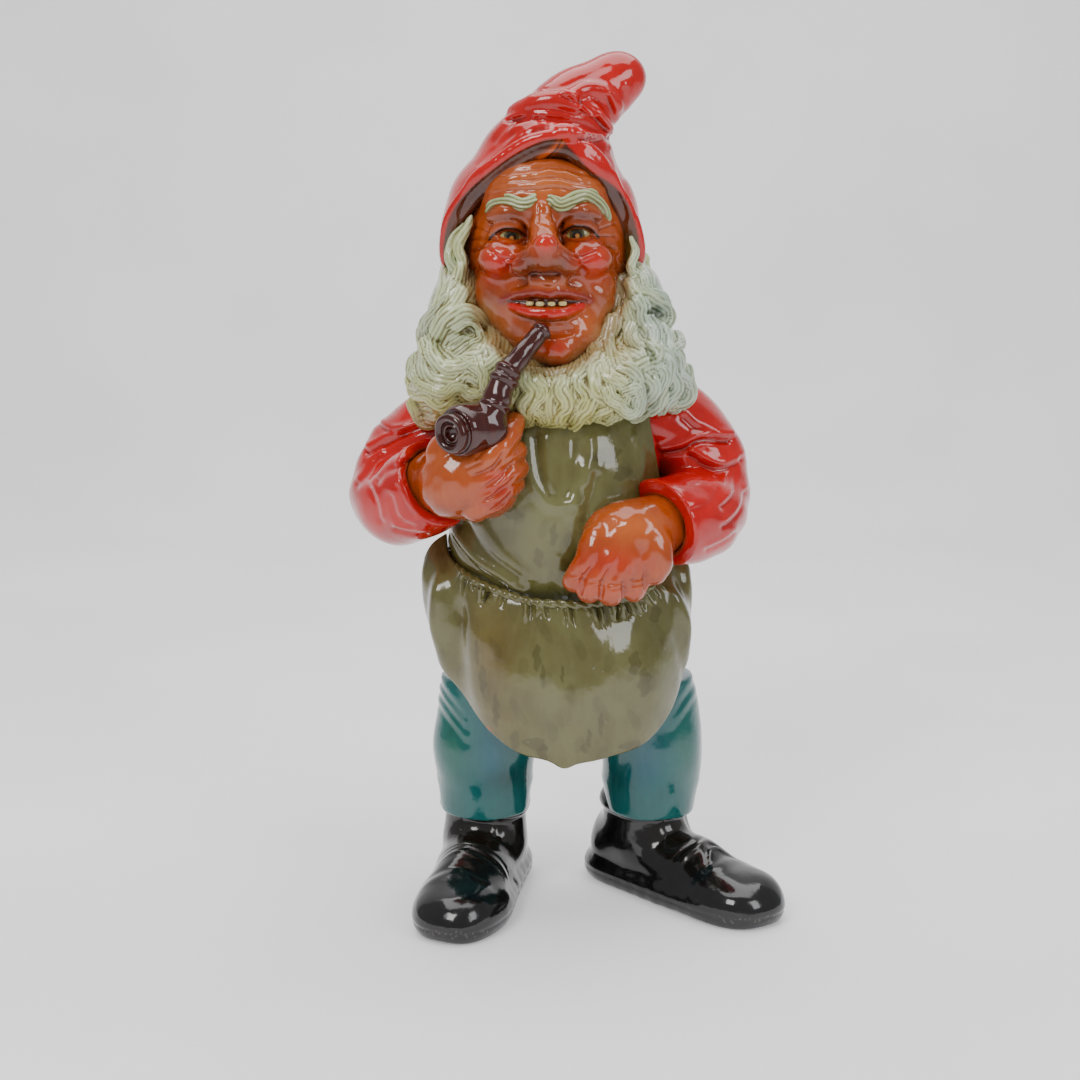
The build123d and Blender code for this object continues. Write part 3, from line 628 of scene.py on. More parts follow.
    def paint(p, out, groove):
        x, y, z = p.T
        colour = np.tile(SKIN, (len(p), 1))
        # Painted shade: the surfaces that face down are darker.
        down = rise(-out[:, 2], 0.1, 0.9)[:, None]
        colour = over(colour, 0.45 * down, SHADED_SKIN)
        for side in (-1, 1):
            # Painted shade at the sides of the face, beside the mouth, between the brows and the upper lids,
            # beside the outer corners of the eyes and beside the nose wings; red paint on the cheeks.
            centre = (FACE_X + side * 30, -34, 459)
            for patch in (
                ((FACE_X + side * 43, -12, 452), (12, 30, 14), 0.40, SHADED_SKIN),
                ((FACE_X + side * 36, -22, 436), (9, 26, 9), 0.55, SHADED_SKIN),
                ((FACE_X + side * 23, -26, 487), (15, 26, 5.5), 0.75, SHADED_SKIN),
                ((FACE_X + side * 36, -22, 468), (10, 30, 3), 0.45, SHADED_SKIN),
                ((FACE_X + side * 11, -46, 457), (12, 16, 9), 0.85, tint(88, 26, 5)),
                (centre, (11.5, 26, 9.5), 0.95, CHEEK),
                ((FACE_X + side * 33, -30, 450), (8, 26, 8), 0.45, CHEEK),
            ):
                colour = blot(colour, p, *patch)
        # Red paint on the nose tip and the chin; painted shade under the nose and along the mouth; painted
        # highlights on the forehead, the bridge of the nose, the cheek and the jaw.
        for patch in (
            ((FACE_X, -50, 459), (10, 16, 5), 0.7, tint(96, 30, 6)),
            ((FACE_X, -60, 469.5), (7.6, 10, 6.0), 1.0, tint(196, 12, 6)),
            ((FACE_X, -42, 450.5), (19, 12, 4.5), 0.8, tint(84, 24, 6)),
            ((FACE_X, -36, 432), (34, 16, 2.5), 0.4, SHADED_SKIN),
            ((-8, -44, 401), (10, 20, 6), 0.75, tint(192, 26, 8)),
            ((-8, -44, 390), (12, 20, 4), 0.5, CHEEK),
            ((FACE_X, -30, 509), (36, 30, 10), 0.55, tint(204, 112, 46)),
            ((FACE_X, -36, 482), (6, 12, 8), 0.35, tint(206, 92, 28)),
            ((FACE_X + 34, -10, 440), (8, 26, 12), 0.35, tint(196, 92, 32)),
            ((FACE_X - 28, -34, 417), (10, 26, 7), 0.35, tint(200, 90, 30)),
            ((FACE_X + 28, -34, 417), (10, 26, 7), 0.35, tint(200, 90, 30)),
        ):
            colour = blot(colour, p, *patch)
        for spot in (
            (-58, -10, 424),
            (-50, -18, 408),
            (-34, -26, 395),
            (-14, -30, 386),
            (6, -26, 394),
            (22, -18, 408),
            (31, -10, 422),
        ):
            colour = blot(colour, p, spot, (9, 26, 8), 0.55, tint(150, 132, 80))
        lower = crease(p, [(-37, 428.5), (-26, 425), (-14, 423.8), (-3, 425), (8, 428.5)], 3.6,
                       front=-26)[:, None]
        lower = np.clip(lower * 1.7 - 0.35, 0, 1)
        colour = over(colour, lower, LIP)
        upper = crease(p, [(-44, 432), (-33, 435.8), (-21, 437), (-13.5, 436), (-7, 437), (4, 435.8),
                           (14, 432)],
                       3.2, front=-22)[:, None]
        upper = np.clip(upper * 1.6 - 0.3, 0, 1) * 0.85
        colour = over(colour, upper, tint(132, 18, 8))
        slit = crease(p, [(-40, 431.6), (-28, 431), (-14, 430.6), (0, 431), (11, 431.6)], 1.5,
                      front=-20)[:, None]
        inner = np.clip(slit * 1.7 - 0.5, 0, 1) * (1 - 0.6 * rise(np.abs(x - FACE_X), 18, 30)[:, None])
        colour = over(colour, inner, tint(44, 6, 2))
        for side, eye in ((-1, RIGHT_EYE), (1, LEFT_EYE)):
            lid = crease(p, [eye[[0, 2]] + (side * -10.5, 0.5), eye[[0, 2]] + (side * -5, 4.2),
                             eye[[0, 2]] + (side * 3, 4.6), eye[[0, 2]] + (side * 10, 1.2),
                             eye[[0, 2]] + (side * 13, -2)], 1.15, front=-16)[:, None]
            lid = np.clip(lid * 1.6 - 0.35, 0, 1)
            colour = over(colour, lid, tint(22, 12, 8))
            low = crease(p, [eye[[0, 2]] + (-10, -2.5), eye[[0, 2]] + (-3, -5), eye[[0, 2]] + (5, -4.8),
                             eye[[0, 2]] + (10, -2)], 1.0, front=-18)[:, None]
            low = np.clip(low * 1.4 - 0.3, 0, 1) * 0.75
            colour = over(colour, low, tint(120, 30, 12))
        return colour

    solid("face", clay, "flesh_enamel", ("head",), paint, relief=relief)
    build_eyes()
    build_brows()
    build_teeth()


def plain(name, places, faces, finish, ink):
    """A piece of the figure from vertices in millimetres and faces, with a colour for each vertex."""
    mesh = bpy.data.meshes.new(name)
    mesh.from_pydata((np.array(places) * METRE).tolist(), [], faces)
    mesh.validate()
    lay_on(mesh, np.zeros(len(places)), ink)
    hand_over(add(name, mesh), "figure", finish)


def build_eyes():
    for name, eye, gaze in (("right_eye", RIGHT_EYE, (1.5, -0.5)), ("left_eye", LEFT_EYE, (-1.0, -0.5))):
        centre = eye + (0, 5.0, -0.5)
        radius = 11.6
        rings, spokes = 60, 72
        places, faces = [], []
        # The pole of the ball is at the pupil, so that its rings are the painted circles.
        for i in range(rings + 1):
            tilt = 0.001 + (math.pi - 0.002) * (i / rings) ** 1.4
            for j in range(spokes):
                around = 2 * math.pi * j / spokes
                places.append((math.sin(tilt) * math.cos(around), -math.cos(tilt),
                               math.sin(tilt) * math.sin(around)))
        for i in range(rings):
            a, b = i * spokes, (i + 1) * spokes
            faces += [(a + j, a + (j + 1) % spokes, b + (j + 1) % spokes, b + j) for j in range(spokes)]
        faces += [tuple(range(spokes))[::-1], tuple(range(rings * spokes, (rings + 1) * spokes))]
        places = np.array(places)
        from_gaze = np.hypot(places[:, 0] * radius - gaze[0], places[:, 2] * radius - gaze[1])
        front = (places[:, 1] < 0)
        white = tint(186, 178, 116)
        ink = np.tile(white, (len(places), 1))
        # Painted shade: the ball darkens towards its corners, where the lids cover it.
        rim = rise(np.abs(places[:, 0] * radius), 5.5, 9.5)[:, None] * 0.55
        ink = over(ink, rim, tint(120, 92, 50))
        iris = (rise(-from_gaze, -5.4, -4.8) * front)[:, None]
        ink = over(ink, iris, tint(84, 84, 52))
        pupil = (rise(-from_gaze, -3.6, -3.0) * front)[:, None]
        ink = over(ink, pupil, tint(14, 10, 8))
        from_dot = np.hypot(places[:, 0] * radius - gaze[0] - 0.2, places[:, 2] * radius - gaze[1] + 0.3)
        dot = (rise(-from_dot, -1.6, -1.2) * front)[:, None]
        ink = over(ink, dot, tint(190, 130, 50))
        plain(name, places * radius + centre, faces, "flesh_enamel", ink)


def build_brows():
    pale = tint(172, 186, 138)
    for name, line, radii in (
        ("right_brow", [(-54, -15, 490), (-49, -20.5, 495.5), (-40, -27, 496.5), (-30, -31.5, 495),
                        (-21, -34, 498)],
         (1.2, 2.8, 3.3, 3.0, 1.6)),
        ("left_brow", [(-13, -34, 497), (-6, -33, 494), (2, -31.5, 496.5), (10, -28, 500.5),
                       (18, -22.5, 497.5),
                       (24, -17, 491), (27, -13, 485)], (1.8, 3.0, 3.2, 3.2, 2.8, 2.0, 1.0)),
    ):
        line = smooth_line(line, 14)
        low, high = line.min(0) - 8, line.max(0) + 8
        clay = Clay(low, high, 0.5)
        sizes = np.interp(np.linspace(0, 1, len(line[::6])), np.linspace(0, 1, len(radii)), radii)
        clay.rope(line[::6], sizes, 2, rounds=3)
        sway = 0.8 * np.sin(np.arange(len(line[::6])) * 1.6)
        for shift, push in ((2.4, 0.2), (-2.2, 0.6)):
            strand = line[::6] + (0, -push, shift)
            strand[:, 2] += sway
            clay.rope(strand, sizes * 0.62, 1.2, rounds=3)

        def relief(p, out, line=line):
            near = np.argmin(np.linalg.norm(p[:, None] - line[None], axis=2), 1)
            over = p[:, 2] - line[near, 2]
            return 0.42 * np.cos(2.3 * over + 0.14 * near + 1.3 * np.sin(near * 0.16))

        def paint(p, out, groove):
            share = rise(groove, -0.05, 0.16)[:, None] * 0.9
            # Painted shade on the underside of the brow.
            under = rise(-out[:, 2], -0.1, 0.7)[:, None] * 0.7
            colour = pale * (1 - share) + tint(98, 92, 34) * share
            return over(colour, under, tint(104, 96, 40))

        solid(name, clay, "beard_enamel", (), paint, smoothing=1, relief=relief)


def node_of(tree, kind, sockets=(), **settings):
    """A node of a geometry tree with its settings, its sockets fed by other sockets or by plain values."""
    node = tree.nodes.new(kind)
    for label, value in settings.items():
        setattr(node, label, value)
    for label, value in dict(sockets).items():
        if isinstance(value, bpy.types.NodeSocket):
            tree.links.new(value, node.inputs[label])
        else:
            node.inputs[label].default_value = value
    return node


def geometry_tree(name, sizes):
    """A geometry tree that takes a path and named sizes; returns the tree and its two end nodes."""
    tree = bpy.data.node_groups.new(name, "GeometryNodeTree")
    tree.interface.new_socket("Geometry", in_out="INPUT", socket_type="NodeSocketGeometry")
    for label, value in sizes.items():
        tree.interface.new_socket(label, in_out="INPUT", socket_type="NodeSocketFloat").default_value = value
    tree.interface.new_socket("Geometry", in_out="OUTPUT", socket_type="NodeSocketGeometry")
    return tree, tree.nodes.new("NodeGroupInput"), tree.nodes.new("NodeGroupOutput")


def finish_tree(tree, result, geometry, finish):
    """Ends a tree with plain geometry in its enamel."""
    real = node_of(tree, "GeometryNodeRealizeInstances", {"Geometry": geometry})
    done = node_of(tree, "GeometryNodeSetMaterial", {"Geometry": real.outputs[0], "Material": ENAMEL[finish]})
    tree.links.new(done.outputs[0], result.inputs[0])


def grow_on(path, closed, tree, sizes):
    """Runs a geometry tree on a path of points in millimetres; returns the plain mesh that it makes."""
    count = len(path)
    edges = [(k, (k + 1) % count) for k in range(count if closed else count - 1)]
    line = bpy.data.meshes.new("path")
    line.from_pydata((np.array(path) * METRE).tolist(), edges, [])
    stand_in = add("path", line)
    maker = stand_in.modifiers.new("maker", "NODES")
    maker.node_group = tree
    identifiers = {item.name: item.identifier for item in tree.interface.items_tree if item.in_out == "INPUT"}
    for label, value in sizes.items():
        maker[identifiers[label]] = float(value)
    depsgraph = bpy.context.evaluated_depsgraph_get()
    mesh = bpy.data.meshes.new_from_object(stand_in.evaluated_get(depsgraph), depsgraph=depsgraph)
    bpy.data.objects.remove(stand_in)
    return mesh


def finish_mesh(name, mesh, finish, nodes, paint):
    """Paints a grown mesh of the figure and hands it over."""
    places = np.empty(len(mesh.vertices) * 3, np.float32)
    mesh.vertices.foreach_get("co", places)
    places = places.reshape(-1, 3) / METRE
    outward = np.array([vertex.normal for vertex in mesh.vertices])
    groove = np.zeros(len(places))
    lay_on(mesh, groove, paint(places, outward, groove))
    hand_over(add(name, mesh), "figure", finish, nodes)


def build_teeth():
    """Four worn upper teeth, set side by side along the bend of the jaw."""
    sizes = {"Tooth width": 0.0064, "Tooth depth": 0.0062, "Tooth height": 0.0039, "Unevenness": 0.16}
    tree, given, result = geometry_tree("tooth row", sizes)
    jaw = node_of(tree, "GeometryNodeMeshToCurve", {"Mesh": given.outputs["Geometry"]})
    roots = node_of(tree, "GeometryNodeCurveToPoints", {"Curve": jaw.outputs[0]}, mode="EVALUATED")
    aim = node_of(tree, "FunctionNodeAlignRotationToVector", {"Vector": roots.outputs["Tangent"]}, axis="X")
    block = node_of(tree, "GeometryNodeMeshCube", {"Size": (1, 1, 1)})
    crown = node_of(tree, "GeometryNodeSubdivisionSurface", {
        "Mesh": block.outputs["Mesh"], "Level": 4, "Edge Crease": 0.2})
    size = node_of(tree, "ShaderNodeCombineXYZ", {
        "X": given.outputs["Tooth width"], "Y": given.outputs["Tooth depth"],
        "Z": given.outputs["Tooth height"]})
    low = node_of(tree, "ShaderNodeMath", {0: 1.0, 1: given.outputs["Unevenness"]}, operation="SUBTRACT")
    uneven = node_of(tree, "FunctionNodeRandomValue", {2: low.outputs[0], 3: 1.0, 8: 5}, data_type="FLOAT")
    scale = node_of(tree, "ShaderNodeVectorMath", {0: size.outputs[0], "Scale": uneven.outputs[1]},
                    operation="SCALE")
    row = node_of(tree, "GeometryNodeInstanceOnPoints", {
        "Points": roots.outputs["Points"], "Instance": crown.outputs[0], "Rotation": aim.outputs[0],
        "Scale": scale.outputs[0]})
    finish_tree(tree, result, row.outputs[0], "flesh_enamel")
    jaw_line = [(-25.6, -39.8, 430.3), (-18.9, -42.3, 430.1), (-11.5, -43.0, 430.1), (-4.2, -41.4, 430.3)]
    mesh = grow_on(jaw_line, False, tree, sizes)

    def paint(p, out, groove):
        root = rise(p[:, 2], 430.8, 432.2)[:, None] * 0.6
        return tint(206, 190, 128) * (1 - root) + tint(140, 100, 50) * root

    finish_mesh("teeth", mesh, "flesh_enamel", (), paint)


def front_of(clay, spots, lift=0.0):
    """Places (x, z) spots on the side of the clay that faces -Y, raised by lift millimetres."""
    out = []
    for x, z in spots:
        i = int(np.clip(round((x - clay.low[0]) / clay.step), 0, clay.count[0] - 1))
        k = int(np.clip(round((z - clay.low[2]) / clay.step), 0, clay.count[2] - 1))
        column = clay.depth[i, :, k]
        j = int(np.argmax(column < 0)) if (column < 0).any() else int(np.argmin(column))
        out.append((x, clay.low[1] + clay.step * j - lift, z))
    return out


# ---------------------------------------------------------------- cap
BRIM = [(-84, 457), (-84, 470), (-80, 486), (-71, 501), (-57, 515), (-38, 528), (-20, 536.5), (-8, 538.5),
        (4, 536),
        (17, 527), (29, 514), (39, 499), (45, 483), (48, 469), (48, 457)]


def brim_y(z):
    """The brim leans: it stands further forward over the brow than at the ears."""
    return 6.0 - 31.0 * np.clip((z - 457) / 80, 0, 1) ** 1.2


def build_cap():
    clay = Clay(*room_for("cap"), 1.15)
    clay.egg((-18, 28, 474), (69.5, 66, 74), 3)
    clay.egg((-18, 28, 462), (70, 66, 40), 6)
    clay.egg((-13, 28, 528), (45, 42, 38), 10)
    clay.rope([(-12, 30, 545), (4, 33, 560), (22, 36, 573), (38, 38, 583)], [27, 24, 18, 15.2], 8)
    clay.egg((0, 30, 570), (18, 15, 8), 8, turn=(0, -22, 0))
    clay.bar((46, 30, 540), (60, 30, 556), 4, 5, 8, True)
    clay.slab((0, 0, 456.5), (0, 0, -1), 1.5)
    # The hood is hollow, and open towards the face.
    clay.egg((-17.5, -24, 463), (66.5, 42, 71), 2, True)
    clay.egg((-17.5, -24, 442), (67.5, 40, 56), 4, True)
    rolled = [(x, brim_y(z), z) for x, z in BRIM]
    clay.rope(rolled, [3.0, 3.4, 3.6, 3.8, 3.8, 3.6, 3.4], 2.5, rounds=4)
    centre = np.array((-17.5, 458.0))
    lining = []
    for x, z in BRIM:
        inward = centre - (x, z)
        inward /= np.linalg.norm(inward)
        lining.append((x + 7.0 * inward[0], brim_y(z) + 4.0, z + 7.5 * inward[1]))
    clay.rope(lining[1:-1], [3.5, 5.0, 5.2, 5.2, 5.0, 3.5], 2.0, rounds=4)
    clay.rope([(-4, -23, 533), (8, -22, 526), (20, -17, 517), (29, -11, 506)], [3.0, 5.5, 5.0, 3.0], 3)
    clay.rope([(-17, -20, 525), (-11, -22, 529), (-5, -24, 534)], [1.2, 1.8, 1.2], 1.0)
    fold = front_of(clay, [(-42, 552), (-28, 552), (-12, 551), (3, 549), (16, 546), (27, 540)])
    ridge = front_of(clay, [(-38, 559), (-22, 562), (-5, 563), (8, 560), (19, 555), (28, 546)], -1.5)
    clay.rope(ridge, [3.5, 5.5, 6.5, 6.0, 4.5, 3.0], 4)
    clay.rope(fold, [1.5, 2.6, 3.4, 3.8, 3.4, 2.0], 2.2, True)
    under = front_of(clay, [(-36, 543), (-20, 545), (0, 541), (16, 537), (27, 534)], -1.0)
    clay.rope(under, [2.5, 4.0, 4.5, 3.5, 2.5], 4)
    pocket = front_of(clay, [(6, 568), (14, 562), (21, 556)])
    clay.rope(pocket, [2.0, 3.6, 2.0], 3, True)
    crest = front_of(clay, [(-2, 566), (10, 571), (24, 570), (34, 562)], -2.0)
    clay.rope(crest, [2.5, 4.2, 4.5, 2.5], 4)

    def relief(p, out):
        x, y, z = p.T
        lift = 0.8 * np.sin(x * 0.11 + z * 0.05) * np.sin(z * 0.09 + y * 0.07 + 1.0)
        facing = rise(-out[:, 1], -0.2, 0.3)
        for line, wide, deep in (
            ([(29, 541), (20, 537), (8, 536.5)], 2.0, 2.0),
            ([(29, 544), (21, 550), (9, 556)], 2.2, 2.2),
            ([(31, 546), (31, 556), (27, 566)], 2.0, 1.8),
            ([(35, 549), (39, 560), (39, 572)], 2.2, 1.6),
            ([(29, 540), (27, 531), (30, 520)], 2.6, 1.2),
            ([(-50, 538), (-40, 549), (-28, 555)], 3.0, 1.2),
            ([(33, 540), (36, 528), (40, 516)], 2.4, 1.4),
            ([(-4, 566), (8, 561), (20, 552)], 2.0, 1.8),
        ):
            line = smooth_line(line, 6)
            lift -= deep * crease(p, line, wide) * facing
            lift += 0.8 * deep * crease(p, line + np.array((0.2, 1.0)) * wide * 1.6, wide * 1.3) * facing
        for line, deep in (
            ([(-60, 522), (-40, 540), (-22, 549)], 1.0),
            ([(-70, 500), (-52, 524), (-38, 540)], 0.8),
            ([(40, 500), (34, 520), (28, 536)], 1.2),
            ([(46, 490), (39, 512), (31, 530)], 0.9),
            ([(-30, 574), (-10, 572), (6, 577), (26, 588)], 0.8),
        ):
            near = crease(p, line, 2.6, front=34)
            lift -= deep * near
        lift += 1.1 * crease(p, [(-66, 512), (-46, 531), (-28, 541)], 4.5, front=30)
        back = rise(y, 30, 60)
        lift += back * 1.3 * np.sin(x * 0.13 + 0.04 * z) * rise(z, 470, 520)
        return lift

    def paint(p, out, groove):
        x, y, z = p.T
        colour = np.tile(RED, (len(p), 1))
        # Painted shade: darker red in the grooves.
        deep = rise(groove, 0.1, 0.9)[:, None] * 0.55
        colour = over(colour, deep, tint(120, 6, 4))
        outline = smooth_line(BRIM, 6)
        reach = np.full(len(p), 1e9)
        within = np.zeros(len(p))
        for a, b in zip(outline[:-1], outline[1:]):
            gap = np.hypot(x - (a[0] + b[0]) / 2, z - (a[1] + b[1]) / 2)
            turn = (b[0] - a[0]) * (z - a[1]) - (b[1] - a[1]) * (x - a[0])
            within = np.where(gap < reach, -turn / np.hypot(*(b - a)), within)
            reach = np.minimum(reach, gap)
        start = 2.4 * rise(z, 484, 520) - 0.6 + 7.5 * hump(x, 12, 15) * rise(x, -5, 0)
        lining = (rise(within, start, start + 1.0) * (y < 34) * (z < 541))[:, None]
        brown = BROWN * (0.9 + 0.25 * np.sin(z * 0.21)[:, None])
        olive = rise(-z, -486, -466)[:, None] * 0.6
        brown = over(brown, olive, tint(92, 78, 30))
        colour = over(colour, lining, brown)
        tuck = crease(p, [(-19, 524), (-12, 528), (-5, 534)], 2.0, front=30)[:, None] * lining
        colour = over(colour, tuck, tint(186, 78, 20))
        seam = crease(p, [(-17, 523), (-9, 529), (-4, 537)], 0.8, front=30)[:, None] * lining
        colour = over(colour, seam, tint(30, 8, 2))
        return colour

    solid("cap", clay, "red_enamel", ("cap",), paint, relief=relief)


# ---------------------------------------------------------------- hair and beard
LOCKS = [  # each lock: its line in x and z, its radius at the root and at the tip, how proud it stands
    ([(-74, 484), (-78, 470), (-77, 459), (-73, 451), (-77, 442), (-80, 432)], 4.0, 3.6, 1.5),
    ([(-82, 464), (-84, 452), (-83, 441), (-86, 430)], 4.0, 3.6, 1.0),
    ([(-75, 440), (-83, 430), (-91, 420), (-96, 408), (-95, 398)], 5.4, 4.6, 3.0),
    ([(-70, 438), (-75, 429), (-83, 422), (-87, 412)], 4.0, 3.5, 2.5),
    ([(-88, 410), (-81, 421), (-71, 425), (-60, 422), (-53, 414), (-51, 405), (-56, 397.5), (-64, 396)],
     4.6, 4.4, 5.0),
    ([(-76, 414), (-69, 417.5), (-62, 414), (-59.5, 407), (-64, 402)], 2.8, 2.4, 4.0),
    ([(-93, 405), (-91, 395), (-83, 388), (-73, 388), (-63, 391), (-54, 389), (-47, 394)], 5.4, 3.6, 3.5),
    ([(-97, 398), (-96, 387), (-87, 380), (-77, 379), (-67, 383), (-58, 380), (-51, 384)], 5.0, 3.4, 4.0),
    ([(-102, 392), (-101, 381), (-93, 374), (-83, 372), (-73, 374), (-64, 370), (-56, 373)], 5.0, 3.2, 4.0),
    ([(-105, 380), (-101, 371), (-90, 367), (-81, 364), (-72, 366), (-64, 361)], 4.6, 3.0, 4.5),
    ([(-103, 372), (-95, 373), (-88, 369), (-85, 362), (-89, 355), (-97, 351)], 4.4, 3.4, 5.5),
    ([(-105, 364), (-102, 355), (-95, 349), (-87, 348)], 4.4, 2.6, 3.5),
    ([(-82, 358), (-76, 352), (-68, 352), (-62, 349)], 4.2, 2.4, 3.0),
    ([(-51, 399), (-46, 388), (-41, 378), (-39, 367), (-43, 357)], 4.6, 2.8, 4.0),
    ([(-57, 392), (-54, 380), (-49, 371), (-50, 361), (-54, 352)], 4.8, 3.0, 3.5),
    ([(-37, 389), (-32, 377), (-36, 366), (-35, 356), (-39, 348)], 4.0, 2.0, 4.0),
    ([(-30, 385), (-25, 374), (-29, 364), (-26, 354), (-30, 347)], 3.8, 1.8, 4.0),
    ([(-22, 382), (-18, 372), (-22, 362), (-17, 353), (-21, 346.5)], 3.8, 1.8, 4.2),
    ([(-13, 380), (-10, 371), (-14, 361), (-9, 353), (-12, 347)], 3.8, 1.8, 4.2),
    ([(-4, 382), (-6, 372), (-2, 363), (-7, 354), (-3, 348)], 3.8, 1.8, 4.2),
    ([(4, 386), (0, 376), (5, 366), (1, 357), (5, 349)], 3.8, 1.8, 4.2),
    ([(12, 390), (7, 380), (11, 370), (8, 361), (13, 352)], 4.0, 1.8, 4.4),
    ([(20, 396), (15, 385), (18, 375), (25, 366), (20, 358), (26, 351)], 4.2, 2.0, 4.6),
    ([(28, 416), (22, 405), (19, 395), (24, 385), (32, 379), (38, 371), (35, 361), (29, 355)], 4.8, 2.4, 4.6),
    ([(31, 420), (28, 409), (26, 399), (32, 391), (40, 385), (46, 377), (44, 366), (38, 358)], 4.8, 2.6, 4.4),
    ([(37, 424), (36, 412), (36, 401), (42, 394), (50, 386), (54, 376), (51, 366), (45, 358)], 5.0, 2.8, 4.6),
    ([(42, 428), (44, 415), (46, 403), (53, 395), (60, 386), (62, 375), (58, 364), (52, 357)], 5.0, 3.0, 4.6),
    ([(46, 432), (52, 420), (55, 408), (60, 398), (67, 388), (70, 377), (66, 365), (59, 358)], 5.0, 3.2, 4.4),
    ([(41, 444), (47, 437), (55, 433), (63, 429), (66, 421), (61, 415), (54, 417)], 4.2, 3.4, 4.5),
    ([(44, 456), (48, 446), (53, 439), (60, 434), (66, 428), (70, 419)], 4.0, 3.4, 2.5),
    ([(60, 414), (64, 403), (66, 394), (72, 386), (78, 376), (77, 366), (70, 359)], 5.0, 3.4, 3.4),
    ([(66, 410), (69, 399), (74, 389), (80, 378), (81, 367), (76, 358)], 4.6, 3.4, 2.0),
    ([(-70, 492), (-74, 480), (-73, 468), (-70, 458), (-73, 447)], 3.4, 2.6, 4.5),
    ([(47, 472), (50, 461), (48, 451), (51, 443)], 3.6, 3.2, 1.5),
    ([(80, 386), (83, 374), (79, 364), (71, 362), (68, 369), (73, 374)], 4.4, 2.8, 4.5),
    ([(24, 374), (31, 365), (40, 361), (47, 366), (45, 374), (39, 374)], 4.2, 2.4, 6.5),
    ([(52, 412), (58, 402), (68, 398), (75, 402), (73, 409)], 4.2, 2.8, 5.5),
    ([(34, 396), (42, 390), (52, 390), (57, 397), (53, 404)], 3.8, 2.4, 6.0),
    ([(-22, 366), (-27, 356), (-34, 350), (-41, 350)], 3.4, 1.4, 6.0),
    ([(-4, 364), (-9, 354), (-16, 348), (-23, 347)], 3.4, 1.4, 6.0),
    ([(14, 366), (8, 355), (1, 349), (-6, 347)], 3.4, 1.4, 6.0),
    ([(34, 368), (27, 357), (20, 351), (12, 350)], 3.6, 1.4, 6.0),
    ([(62, 372), (56, 361), (49, 355), (40, 354)], 3.8, 1.6, 5.5),
    ([(-94, 398), (-104, 392), (-106, 383), (-100, 378)], 3.6, 2.4, 4.0),
    ([(-66, 392), (-58, 386), (-52, 378), (-56, 371), (-63, 373)], 4.0, 2.4, 6.0),
]


